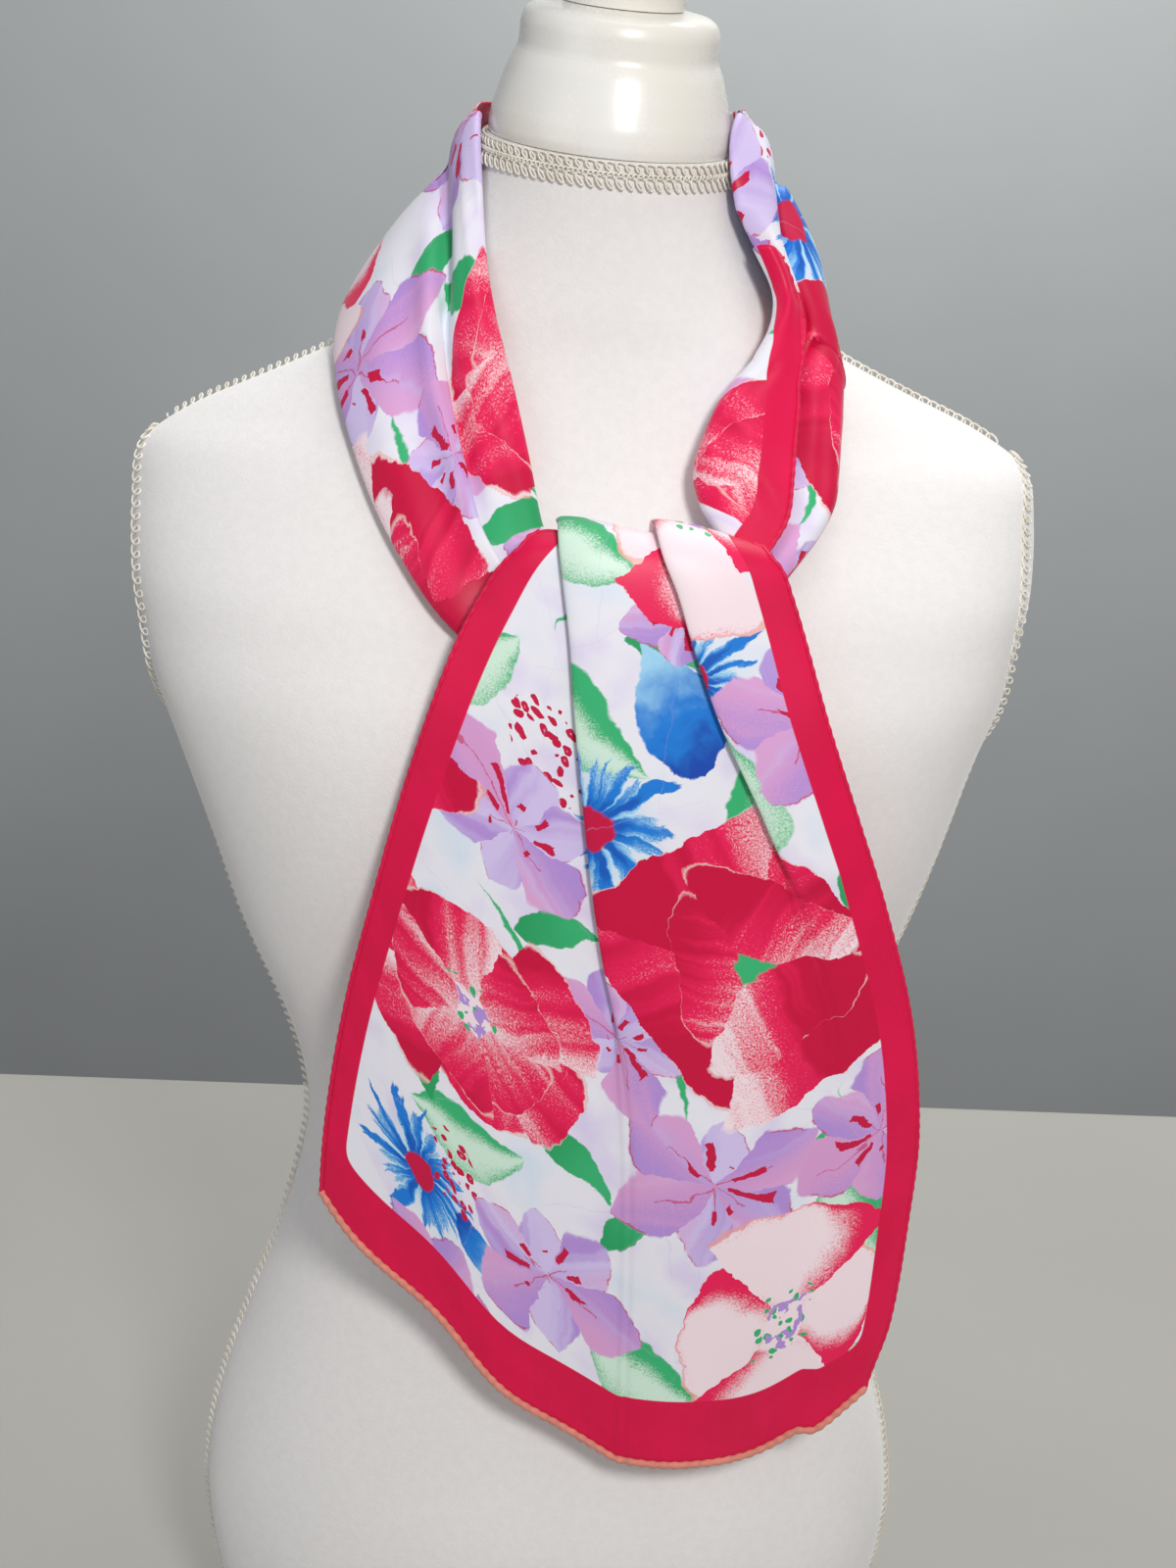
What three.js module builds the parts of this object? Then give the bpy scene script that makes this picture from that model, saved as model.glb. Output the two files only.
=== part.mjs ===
// An oblong scarf tied over itself at the throat of a limbless dress form.
//
// Frame: millimetres, +Z up. The origin is the middle of the form's flat base, the form faces -Y
// and +X is on its left hand side, which is the right of someone who looks at its front.

import * as THREE from 'three';

// ---------------------------------------------------------------------------------------------
// Driving dimensions
// ---------------------------------------------------------------------------------------------

const CLOTH_WALL = 1.2;
const CLOTH_LIFT = 3.3; // from the form to the middle of the cloth that lies on it
const FOLD_STEP = 3; // from one layer of a folded sheet to the next
const FOLD_TIP = 1.2; // how far the round end of a fold stands out past its line
const FOLD_OPENS = { from: 2, to: -6, spacing: 1.6 }; // laps from which and at which it lies open
const SEAM_GAP = 0.3;

const BRAID_THICK = 1.8;
const BRAID_GAP = 0.6;
const NECK_BRAID_WIDE = 11;
const EDGE_BRAID_WIDE = 4.5;

const TORSO_SEGMENTS = 36;
const CAP_SEGMENTS = 32;

// The torso's rings, from the base to the top of the neck. half is half the width, front and back
// are the depths from the ring's own middle, and square is the exponent of its superellipse.
const TORSO_RINGS = [
  { z: 0, half: 138, front: 84, back: 92, midX: 0, midY: 0, square: 2.2 },
  { z: 50, half: 159, front: 98, back: 104, midX: 0, midY: 0, square: 2.2 },
  { z: 98, half: 167, front: 105, back: 110, midX: 0, midY: 0, square: 2.2 },
  { z: 130, half: 165.5, front: 105, back: 110, midX: 0, midY: 0, square: 2.2 },
  { z: 166, half: 158, front: 101, back: 103, midX: 0, midY: 0, square: 2.2 },
  { z: 207, half: 144.5, front: 96, back: 93, midX: 0, midY: 0, square: 2.2 },
  { z: 248, half: 130, front: 89, back: 82, midX: 0, midY: 0, square: 2.2 },
  { z: 295, half: 119, front: 82, back: 74, midX: 0.5, midY: 0, square: 2.2 },
  { z: 320, half: 119, front: 82, back: 73, midX: 1, midY: 0, square: 2.2 },
  { z: 353, half: 128.5, front: 87, back: 76, midX: 2, midY: 0, square: 2.2 },
  { z: 400, half: 148, front: 98, back: 82, midX: 2.5, midY: 0, square: 2.3 },
  { z: 438, half: 160, front: 106, back: 86, midX: 3, midY: 0, square: 2.4 },
  { z: 483, half: 173.5, front: 110, back: 90, midX: 2, midY: 0, square: 2.5 },
  { z: 515, half: 184, front: 107, back: 92, midX: 2, midY: 0, square: 2.6 },
  { z: 540, half: 189.5, front: 99, back: 91, midX: 2, midY: 0, square: 2.6 },
  { z: 560, half: 193, front: 91, back: 90, midX: 2, midY: 0, square: 2.6 },
  { z: 590, half: 193.5, front: 74, back: 80, midX: 1.5, midY: 2, square: 2.4 },
  { z: 610, half: 189, front: 63, back: 70, midX: 1.5, midY: 4, square: 2.2 },
  { z: 625, half: 168, front: 56, back: 62, midX: 1.5, midY: 6, square: 2 },
  { z: 640, half: 135, front: 52, back: 56, midX: 2, midY: 8, square: 2 },
  { z: 655, half: 104, front: 50, back: 54, midX: 2.5, midY: 9, square: 2 },
  { z: 670, half: 83, front: 50, back: 53, midX: 3, midY: 9, square: 2 },
  { z: 688, half: 70, front: 49, back: 52, midX: 4, midY: 8, square: 2 },
  { z: 710, half: 59, front: 48, back: 51, midX: 5, midY: 5, square: 2 },
  { z: 738, half: 50.5, front: 48, back: 50, midX: 7, midY: 0, square: 2 },
  { z: 760, half: 50, front: 48, back: 50, midX: 8, midY: -3, square: 2 },
];
const RING_COLUMNS = ['half', 'front', 'back', 'midX', 'midY', 'square'];

// How closely the torso's skin follows those rings, from the base up.
const TORSO_LEVELS = [
  { to: 250, steps: 9 },
  { to: 370, steps: 7 },
  { to: 600, steps: 9 },
  { to: 704, steps: 13 },
  { to: 738, steps: 3 },
];

// The neck ends in a plane that falls to the front and to +X.
const NECK_TOP = { x: 7, y: 0, z: 738, fallsFront: 8, fallsSide: 4, bendsFrom: 690 };

// Half profiles of the turned neck cap and of the finial on it: radius, height over the neck.
const CAP_PROFILE = [
  [49.5, 0], [50.2, 3], [49.3, 10], [46.5, 20], [43.5, 29], [41.5, 33], [40.5, 35],
  [40.5, 44], [39, 48.5], [35.5, 51], [26, 52.5],
];
const FINIAL_PROFILE = [
  [24.5, 0], [26, 8], [29, 17], [33, 25], [35, 34], [34, 43], [29.5, 51], [21, 56.5], [11, 59],
];

// The armhole plates' edge, seen from the side, and where the shoulder and side braids run.
const ARMHOLE = { top: 614, bottom: 490, frontHalf: 44, backHalf: 46, points: 26, gap: 0.9 };
const SHOULDER_BRAID = { fromX: 66, toX: 178, y: 7, points: 10 };
const SIDE_BRAID = { y: -14, toZ: 8, points: 24 };

// ---------------------------------------------------------------------------------------------
// Finishes
// ---------------------------------------------------------------------------------------------

const FINISHES = {
  jersey: { color: 0xe9e3da, roughness: 0.95, metalness: 0 },
  braid: { color: 0xf1ead9, roughness: 0.7, metalness: 0 },
  plastic: { color: 0xf4f2ee, roughness: 0.25, metalness: 0 },
  print: { color: 0xe3c9dc, roughness: 0.45, metalness: 0 },
};

// ---------------------------------------------------------------------------------------------
// Curves and tables
// ---------------------------------------------------------------------------------------------

const radians = THREE.MathUtils.degToRad;
const lerp = THREE.MathUtils.lerp;
const vec = (x, y, z) => new THREE.Vector3(x, y, z);

// Reads named columns of a table at a place between its rows, with a smooth cubic through them.
function readTable(rows, key, columns, at) {
  let i = 0;
  while (i < rows.length - 2 && at > rows[i + 1][key]) i += 1;
  const from = rows[i];
  const to = rows[i + 1];
  const before = rows[Math.max(i - 1, 0)];
  const after = rows[Math.min(i + 2, rows.length - 1)];
  const span = to[key] - from[key];
  const t = THREE.MathUtils.clamp((at - from[key]) / span, 0, 1);
  const read = {};
  for (const name of columns) {
    const slopeFrom = ((to[name] - before[name]) / (to[key] - before[key])) * span;
    const slopeTo = ((after[name] - from[name]) / (after[key] - from[key])) * span;
    read[name] =
      from[name] * (2 * t ** 3 - 3 * t ** 2 + 1) +
      to[name] * (3 * t ** 2 - 2 * t ** 3) +
      slopeFrom * (t ** 3 - 2 * t ** 2 + t) +
      slopeTo * (t ** 3 - t ** 2);
  }
  return read;
}

// Points on a smooth curve that is drawn by its control points, as a uniform cubic B-spline that
// starts on the first of them and ends on the last. Place 2.5 is halfway from the third to the next.
function roundedCurve(controls, places) {
  const last = controls.length - 1;
  const at = (i) => {
    if (i < 0) return controls[0].clone().multiplyScalar(2).sub(controls[1]);
    if (i > last) return controls[last].clone().multiplyScalar(2).sub(controls[last - 1]);
    return controls[i];
  };
  return places.map((place) => {
    const i = Math.min(Math.floor(place), last - 1);
    const t = place - i;
    const weights = [
      (1 - t) ** 3 / 6,
      (3 * t ** 3 - 6 * t ** 2 + 4) / 6,
      (-3 * t ** 3 + 3 * t ** 2 + 3 * t + 1) / 6,
      t ** 3 / 6,
    ];
    const point = vec(0, 0, 0);
    weights.forEach((weight, n) => point.addScaledVector(at(i - 1 + n), weight));
    return point;
  });
}

// ---------------------------------------------------------------------------------------------
// The form's surface
// ---------------------------------------------------------------------------------------------

const PROBE_MM = 0.5;
const SETTLE_PASSES = 6;

const ringAt = (z) => readTable(TORSO_RINGS, 'z', RING_COLUMNS, z);

// Below 0 inside the torso, 0 on its surface and above 0 outside it.
function bodyField(x, y, z) {
  const ring = ringAt(z);
  const depth = y < ring.midY ? ring.front : ring.back;
  const across = Math.abs(x - ring.midX) / ring.half;
  const along = Math.abs(y - ring.midY) / depth;
  return (across ** ring.square + along ** ring.square) ** (1 / ring.square) - 1;
}

// The nearest way out of the torso at a point, and how far outside it the point is.
function bodySide(point) {
  const { x, y, z } = point;
  const d = PROBE_MM;
  const slope = vec(
    bodyField(x + d, y, z) - bodyField(x - d, y, z),
    bodyField(x, y + d, z) - bodyField(x, y - d, z),
    bodyField(x, y, z + d) - bodyField(x, y, z - d),
  ).divideScalar(2 * d);
  const steep = slope.length();
  return { out: slope.divideScalar(steep), off: bodyField(x, y, z) / steep };
}

// Moves a point out until it is clear of the torso by lift. With cling at 1 a point that is too
// far off comes in to lift as well.
function settle(point, lift, cling = 0) {
  const settled = point.clone();
  for (let pass = 0; pass < SETTLE_PASSES; pass += 1) {
    const side = bodySide(settled);
    const short = lift - side.off;
    settled.addScaledVector(side.out, short > 0 ? short : short * cling);
  }
  return settled;
}

// A point on the torso's skin: the angle runs round from +X, and the rings tip over near the top.
function torsoPoint(angle, level) {
  const ring = ringAt(level);
  const depth = Math.sin(angle) < 0 ? ring.front : ring.back;
  const round = 2 / ring.square;
  const x = Math.sign(Math.cos(angle)) * Math.abs(Math.cos(angle)) ** round * ring.half;
  const y = Math.sign(Math.sin(angle)) * Math.abs(Math.sin(angle)) ** round * depth;
  const tipped = THREE.MathUtils.smoothstep(level, NECK_TOP.bendsFrom, NECK_TOP.z);
  const fall =
    y * Math.tan(radians(NECK_TOP.fallsFront)) - x * Math.tan(radians(NECK_TOP.fallsSide));
  return vec(ring.midX + x, ring.midY + y, level + tipped * fall);
}

// ---------------------------------------------------------------------------------------------
// Closed solids
// ---------------------------------------------------------------------------------------------

// Turns the triangles of a closed shape round if they point inwards.
function closedGeometry(points, triangles) {
  let volume = 0;
  for (const [a, b, c] of triangles) {
    volume += points[a].dot(points[b].clone().cross(points[c]));
  }
  const ordered = volume < 0 ? triangles.map(([a, b, c]) => [a, c, b]) : triangles;
  const geometry = new THREE.BufferGeometry();
  geometry.setAttribute(
    'position',
    new THREE.Float32BufferAttribute(points.flatMap((p) => [p.x, p.y, p.z]), 3),
  );
  geometry.setIndex(ordered.flat());
  geometry.computeVertexNormals();
  return geometry;
}

// A skin through rings of equally many points, closed at both ends or joined end to end.
function skin(rings, looped = false) {
  const count = rings[0].length;
  const points = rings.flat();
  const triangles = [];
  const joints = looped ? rings.length : rings.length - 1;
  for (let i = 0; i < joints; i += 1) {
    const here = i * count;
    const next = ((i + 1) % rings.length) * count;
    for (let j = 0; j < count; j += 1) {
      const k = (j + 1) % count;
      triangles.push([here + j, here + k, next + k], [here + j, next + k, next + j]);
    }
  }
  if (!looped) {
    for (const [start, flip] of [[0, true], [(rings.length - 1) * count, false]]) {
      const middle = points.length;
      const sum = vec(0, 0, 0);
      for (let j = 0; j < count; j += 1) sum.add(points[start + j]);
      points.push(sum.divideScalar(count));
      for (let j = 0; j < count; j += 1) {
        const k = (j + 1) % count;
        triangles.push(flip ? [middle, start + k, start + j] : [middle, start + j, start + k]);
      }
    }
  }
  return closedGeometry(points, triangles);
}

// A wall of even thickness about a grid of points, rows first, with closed edges.
function wall(grid, thick = CLOTH_WALL) {
  const rows = grid.length;
  const columns = grid[0].length;
  const outer = [];
  const inner = [];
  for (let r = 0; r < rows; r += 1) {
    for (let c = 0; c < columns; c += 1) {
      const across = grid[r][Math.min(c + 1, columns - 1)].clone().sub(grid[r][Math.max(c - 1, 0)]);
      const along = grid[Math.min(r + 1, rows - 1)][c].clone().sub(grid[Math.max(r - 1, 0)][c]);
      const out = across.cross(along).normalize();
      outer.push(grid[r][c].clone().addScaledVector(out, thick / 2));
      inner.push(grid[r][c].clone().addScaledVector(out, -thick / 2));
    }
  }
  const back = rows * columns;
  const triangles = [];
  const quad = (a, b, c, d) => triangles.push([a, b, c], [a, c, d]);
  for (let r = 0; r < rows - 1; r += 1) {
    for (let c = 0; c < columns - 1; c += 1) {
      const a = r * columns + c;
      quad(a, a + 1, a + 1 + columns, a + columns);
      quad(back + a, back + a + columns, back + a + 1 + columns, back + a + 1);
    }
    const left = r * columns;
    const right = left + columns - 1;
    quad(left, left + columns, back + left + columns, back + left);
    quad(right, back + right, back + right + columns, right + columns);
  }
  for (let c = 0; c < columns - 1; c += 1) {
    const end = (rows - 1) * columns + c;
    quad(c, back + c, back + c + 1, c + 1);
    quad(end, end + 1, back + end + 1, back + end);
  }
  return closedGeometry([...outer, ...inner], triangles);
}

// A flat braid along a path of points on the torso, with its back just clear of the skin.
function braidOnBody(path, wide, looped, gap = BRAID_GAP) {
  const last = path.length - 1;
  const rings = path.map((point, i) => {
    const before = path[looped ? (i + last) % path.length : Math.max(i - 1, 0)];
    const after = path[looped ? (i + 1) % path.length : Math.min(i + 1, last)];
    const out = bodySide(point).out;
    const side = after.clone().sub(before).cross(out).setLength(wide / 2);
    const low = point.clone().addScaledVector(out, gap);
    const high = point.clone().addScaledVector(out, gap + BRAID_THICK);
    return [
      low.clone().sub(side),
      low.clone().add(side),
      high.clone().addScaledVector(side, 0.7),
      high.clone().addScaledVector(side, -0.7),
    ];
  });
  return skin(rings, looped);
}

// ---------------------------------------------------------------------------------------------
// The form
// ---------------------------------------------------------------------------------------------

function torso() {
  const levels = [0];
  for (const { to, steps } of TORSO_LEVELS) {
    const from = levels[levels.length - 1];
    for (let i = 1; i <= steps; i += 1) levels.push(lerp(from, to, i / steps));
  }
  const ringOf = (level) =>
    Array.from({ length: TORSO_SEGMENTS }, (_, j) =>
      torsoPoint((2 * Math.PI * j) / TORSO_SEGMENTS, level),
    );
  return skin(levels.map(ringOf));
}

function neckBraid() {
  const rings = [];
  const top = NECK_TOP.z - 0.5;
  for (let j = 0; j < TORSO_SEGMENTS; j += 1) {
    const angle = (2 * Math.PI * j) / TORSO_SEGMENTS;
    const out = vec(Math.cos(angle), Math.sin(angle), 0);
    const high = torsoPoint(angle, top);
    const low = torsoPoint(angle, top - NECK_BRAID_WIDE);
    rings.push([
      low.clone().addScaledVector(out, BRAID_GAP),
      high.clone().addScaledVector(out, BRAID_GAP),
      high.clone().addScaledVector(out, BRAID_GAP + BRAID_THICK),
      low.clone().addScaledVector(out, BRAID_GAP + BRAID_THICK),
    ]);
  }
  return skin(rings, true);
}

function armholeBraid(hand) {
  const middle = (ARMHOLE.top + ARMHOLE.bottom) / 2;
  const tall = (ARMHOLE.top - ARMHOLE.bottom) / 2;
  const path = [];
  for (let i = 0; i < ARMHOLE.points; i += 1) {
    const angle = (2 * Math.PI * i) / ARMHOLE.points;
    const deep = Math.sin(angle) < 0 ? ARMHOLE.frontHalf : ARMHOLE.backHalf;
    const ring = ringAt(middle + tall * Math.cos(angle));
    const y = ring.midY + deep * Math.sin(angle);
    path.push(settle(vec(hand * ring.half, y, middle + tall * Math.cos(angle)), 0, 1));
  }
  return braidOnBody(path, EDGE_BRAID_WIDE, true, ARMHOLE.gap);
}

function shoulderBraid(hand) {
  const path = [];
  for (let i = 0; i < SHOULDER_BRAID.points; i += 1) {
    const x = lerp(SHOULDER_BRAID.fromX, SHOULDER_BRAID.toX, i / (SHOULDER_BRAID.points - 1));
    let z = 600;
    while (bodyField(hand * x, SHOULDER_BRAID.y, z) < 0) z += 1;
    path.push(settle(vec(hand * x, SHOULDER_BRAID.y, z), 0, 1));
  }
  return braidOnBody(path, EDGE_BRAID_WIDE, false);
}

function sideBraid(hand) {
  const path = [];
  const fromZ = ARMHOLE.bottom - EDGE_BRAID_WIDE;
  for (let i = 0; i < SIDE_BRAID.points; i += 1) {
    const z = lerp(fromZ, SIDE_BRAID.toZ, i / (SIDE_BRAID.points - 1));
    path.push(settle(vec(hand * ringAt(z).half, SIDE_BRAID.y, z), 0, 1));
  }
  return braidOnBody(path, EDGE_BRAID_WIDE, false);
}

// A turned piece on the neck, its profile closed on the axis below and above.
function turned(profile) {
  const outline = [[0, profile[0][1]], ...profile, [0, profile[profile.length - 1][1]]];
  const geometry = new THREE.LatheGeometry(
    outline.map(([radius, height]) => new THREE.Vector2(radius, height)),
    CAP_SEGMENTS,
  );
  return geometry.rotateX(Math.PI / 2);
}

// ---------------------------------------------------------------------------------------------
// The scarf round the neck
// ---------------------------------------------------------------------------------------------

// Stations along the cloth, from the knot up the -X side, behind the neck and down the +X side to
// the knot. At each, inner is the edge next to the throat, crease the main fold line and outer the
// edge next to the shoulder.
const NECK_LOOP = [
  { inner: [-9, -84.5, 582.5], crease: [-22, -92.5, 569.5], outer: [-36.5, -103, 545.5] },
  { inner: [-14, -79, 592], crease: [-35, -87, 584], outer: [-53, -98, 560] },
  { inner: [-20, -65, 614], crease: [-44, -70, 606], outer: [-68, -86, 578] },
  { inner: [-29, -50, 646], crease: [-51, -56, 628], outer: [-81, -71, 597] },
  { inner: [-37, -41, 672], crease: [-56, -44, 650], outer: [-92, -54, 619] },
  { inner: [-43, -31, 700], crease: [-58, -31, 676], outer: [-100, -36, 640] },
  { inner: [-46.2, -22, 727], crease: [-59, -14, 702], outer: [-104, -10, 658] },
  { inner: [-47.1, -6, 748], crease: [-61, 4, 720], outer: [-101, 10, 669] },
  { inner: [-40, 30, 752], crease: [-60, 40, 712], outer: [-88, 52, 660] },
  { inner: [-18, 51, 752], crease: [-30, 62, 704], outer: [-44, 74, 650] },
  { inner: [5, 57, 751], crease: [4, 68, 702], outer: [3, 80, 647] },
  { inner: [30, 48, 751], crease: [40, 60, 704], outer: [50, 72, 650] },
  { inner: [50, 24, 751], crease: [69, 36, 712], outer: [92, 48, 660] },
  { inner: [58, -5, 751], crease: [76, 7, 722], outer: [99, 9, 668] },
  { inner: [62, -13, 729], crease: [79, -5, 708], outer: [102, -6, 659] },
  { inner: [70, -14, 704], crease: [84, -14, 689], outer: [104, -18, 651] },
  { inner: [80, -20, 679], crease: [90, -24, 668], outer: [106, -30, 645] },
  { inner: [69, -40, 655], crease: [85, -42, 649], outer: [106, -40, 636] },
  { inner: [56, -51, 641], crease: [85, -51, 635], outer: [105, -49, 625] },
  { inner: [49, -60, 627], crease: [84, -60, 621], outer: [104, -58, 613] },
  { inner: [45, -69, 613], crease: [83, -71, 608], outer: [102, -67, 602] },
  { inner: [48, -78, 601], crease: [81, -81, 596], outer: [95, -76, 591] },
  { inner: [56, -88, 590], crease: [72, -92.6, 583], outer: [81, -92.6, 574] },
];
const LOOP_LAST = NECK_LOOP.length - 1;

// The folds by station: lap is how far the outer facet lies over the inner one, low is the height at
// the bottom of the crease, rise is the height of an open crease and puff how far a facet swells.
const LOOP_FOLDS = [
  { station: 0, lap: -6, low: 1, rise: 1, puff: 0 },
  { station: 1, lap: 3, low: 1, rise: 1.2, puff: 1 },
  { station: 2, lap: 5, low: 0.8, rise: 1.4, puff: 2 },
  { station: 3, lap: 5, low: 0.8, rise: 1.4, puff: 3 },
  { station: 4, lap: 2, low: 0.8, rise: 1.4, puff: 4 },
  { station: 5, lap: -3, low: 0.8, rise: 1.4, puff: 4 },
  { station: 6, lap: -6, low: 0.8, rise: 1.3, puff: 4 },
  { station: 7, lap: -6, low: 1, rise: 1.2, puff: 3 },
  { station: 8, lap: -6, low: 1.5, rise: 0.8, puff: 3 },
  { station: 9, lap: -6, low: 2, rise: 0.5, puff: 2 },
  { station: 11, lap: -6, low: 2, rise: 0.5, puff: 2 },
  { station: 12, lap: -6, low: 1.5, rise: 0.8, puff: 3 },
  { station: 13, lap: -6, low: 1.4, rise: 0.9, puff: 2 },
  { station: 16, lap: -6, low: 1.4, rise: 0.9, puff: 2 },
  { station: 17, lap: -6, low: 0, rise: 0, puff: 3 },
  { station: 18, lap: -6, low: 0, rise: 0, puff: 4 },
  { station: 20, lap: -6, low: 0, rise: 0, puff: 5 },
  { station: 21, lap: -6, low: 0, rise: 0, puff: 3 },
  { station: 22, lap: -6, low: 0, rise: 0, puff: 1 },
];
const FOLD_COLUMNS = ['lap', 'low', 'rise', 'puff'];

// Where along the stations each stretch starts and ends.
const LEFT_STRAND = { from: 0, to: 7, rows: 21, section: strandSection };
const BACK_NECK = { from: 7, to: 12.99, rows: 14, section: collarSection };
const RIGHT_UPPER = { from: 13, to: 15.97, rows: 10, section: strandSection };
const RIGHT_LOWER = { from: 16.03, to: 22, rows: 16, section: hemmedSection };
const STATION_SPACING = 24; // the least, on the inner edge
const LOOP_PROBE = 0.02; // of a station

const loopLines = ['inner', 'crease', 'outer'].map(
  (line) => new THREE.CatmullRomCurve3(NECK_LOOP.map((station) => vec(...station[line]))),
);

// A point of the loop before its folds: s is 0 on the inner edge, 1 on the crease, 2 outside.
function loopBase(v, s) {
  const t = THREE.MathUtils.clamp(v / LOOP_LAST, 0, 1);
  const [inner, crease, outer] = loopLines.map((line) => line.getPoint(t));
  const point = inner.multiplyScalar(((s - 1) * (s - 2)) / 2);
  point.addScaledVector(crease, s * (2 - s)).addScaledVector(outer, (s * (s - 1)) / 2);
  return settle(point, CLOTH_LIFT);
}

// The same point raised from the loop's own surface, away from the neck.
function loopPoint(v, s, height) {
  const d = LOOP_PROBE;
  const across = loopBase(v, s + d).sub(loopBase(v, s - d));
  const along = loopBase(Math.min(v + d, LOOP_LAST), s).sub(loopBase(Math.max(v - d, 0), s));
  return loopBase(v, s).addScaledVector(across.cross(along).normalize(), -height);
}

// The six controls that take a sheet back on itself and over again, as offsets from the fold's line
// and heights. lap is how far the upper layer lies over the lower one. A fold with a small or
// negative lap opens into a slope that is twice rise high.
function foldControls(lap, low, rise) {
  const folded = THREE.MathUtils.smoothstep(lap, FOLD_OPENS.to, FOLD_OPENS.from);
  const over = Math.max(lap, FOLD_OPENS.from);
  const step = lerp(rise, FOLD_STEP, THREE.MathUtils.smoothstep(folded, 0, 0.5));
  const layers = [
    [over, 0], [over + FOLD_TIP, 0.5], [over, 1], [0, 1], [-FOLD_TIP, 1.5], [0, 2],
  ];
  return layers.map(([offset, height], i) => [
    lerp((i - 2.5) * FOLD_OPENS.spacing, offset, folded),
    low + height * step,
  ]);
}

// A gathered strand: both edges turn under, and a crease parts it into two facets. A section gives
// its control points as s and height, and the places to take on the curve that they draw. inside
// and outside are the widths of the two facets in mm.
function strandSection({ lap, low, rise, puff }, inside, outside) {
  const crease = foldControls(lap, low, rise).map(([offset, height]) => [
    1 + offset / (offset < 0 ? inside : outside),
    height,
  ]);
  return {
    controls: [
      [0.35, 0], [0, 0], [-FOLD_TIP / inside, FOLD_STEP / 2], [0, FOLD_STEP],
      [0.18, FOLD_STEP + 0.5], [0.42, FOLD_STEP + puff], [0.66, FOLD_STEP + puff / 2],
      ...crease,
      [1.32, FOLD_STEP + puff], [1.6, FOLD_STEP + puff], [1.88, FOLD_STEP + 1],
      [2, FOLD_STEP + 0.5], [2 + FOLD_TIP / outside, FOLD_STEP / 2], [2, -0.2], [1.7, 0],
    ],
    places: [
      0, 1, 1.5, 2, 2.5, 3, 4, 5, 6, 7, 7.6, 8, 8.4, 9, 10, 10.6, 11, 11.4, 12, 13, 14, 15, 16,
      16.5, 17, 17.5, 18, 19,
    ],
  };
}

// Behind the neck the band lies open, as a collar with one soft crease.
function collarSection({ low, rise, puff }) {
  return {
    controls: [
      [0, 0.6], [0.12, 2], [0.45, 2 + puff], [0.85, low], [1.05, low + 2 * rise],
      [1.4, 3 + puff], [1.8, 2.5], [2, 1],
    ],
    places: [0, 0.6, 1.2, 2, 2.8, 3.5, 4.2, 5, 5.8, 6.4, 7],
  };
}

// Past the twist the scarf's own hem lies on top, and the cloth runs from it round the inner edge
// and back underneath to the outer one.
function hemmedSection({ puff }) {
  const top = 2 * FOLD_STEP;
  return {
    controls: [
      [1, top], [0.75, top + puff / 3], [0.5, top + puff], [0.25, top + puff],
      [0.08, top + puff / 2], [0, FOLD_STEP + 2], [0, 1], [0.1, 0], [0.4, 0], [0.8, 0],
      [1.15, 0.5], [1.45, 1 + puff / 2], [1.75, 1 + puff / 2], [1.95, 1], [2, 0],
    ],
    places: [0, 1, 2, 3, 3.8, 4.5, 5, 5.5, 6, 6.6, 7.4, 8.4, 9.4, 10.4, 11.2, 12, 13, 14],
  };
}

function loopStretch({ from, to, rows, section }) {
  const trim = SEAM_GAP / STATION_SPACING;
  const grid = [];
  for (let r = 0; r < rows; r += 1) {
    const v = lerp(from + trim, to - trim, r / (rows - 1));
    const folds = readTable(LOOP_FOLDS, 'station', FOLD_COLUMNS, v);
    const inside = loopBase(v, 0).distanceTo(loopBase(v, 1));
    const outside = loopBase(v, 1).distanceTo(loopBase(v, 2));
    const { controls, places } = section(folds, inside, outside);
    grid.push(roundedCurve(controls.map(([s, height]) => loopPoint(v, s, height)), places));
  }
  return wall(grid);
}

// ---------------------------------------------------------------------------------------------
// The front panel
// ---------------------------------------------------------------------------------------------

// The panel's side edges by height, and how far each hangs back from the middle.
const PANEL_EDGES = [
  { z: 194, left: -98, right: 137, backLeft: 13, backRight: 10 },
  { z: 226, left: -98, right: 137, backLeft: 13, backRight: 10 },
  { z: 260, left: -98, right: 145, backLeft: 13, backRight: 11 },
  { z: 310, left: -98, right: 149, backLeft: 13, backRight: 12 },
  { z: 350, left: -95, right: 150, backLeft: 12, backRight: 12 },
  { z: 400, left: -87, right: 143, backLeft: 10, backRight: 11 },
  { z: 450, left: -75, right: 128, backLeft: 7, backRight: 9 },
  { z: 485, left: -66, right: 115, backLeft: 5, backRight: 7 },
  { z: 525, left: -54, right: 100, backLeft: 4, backRight: 5 },
  { z: 555, left: -43, right: 90, backLeft: 6, backRight: 6 },
  { z: 575, left: -33, right: 83, backLeft: 7, backRight: 6 },
  { z: 587, left: -25, right: 78, backLeft: 5, backRight: 5 },
  { z: 598, left: -14, right: 68, backLeft: 0, backRight: 2 },
];

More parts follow.
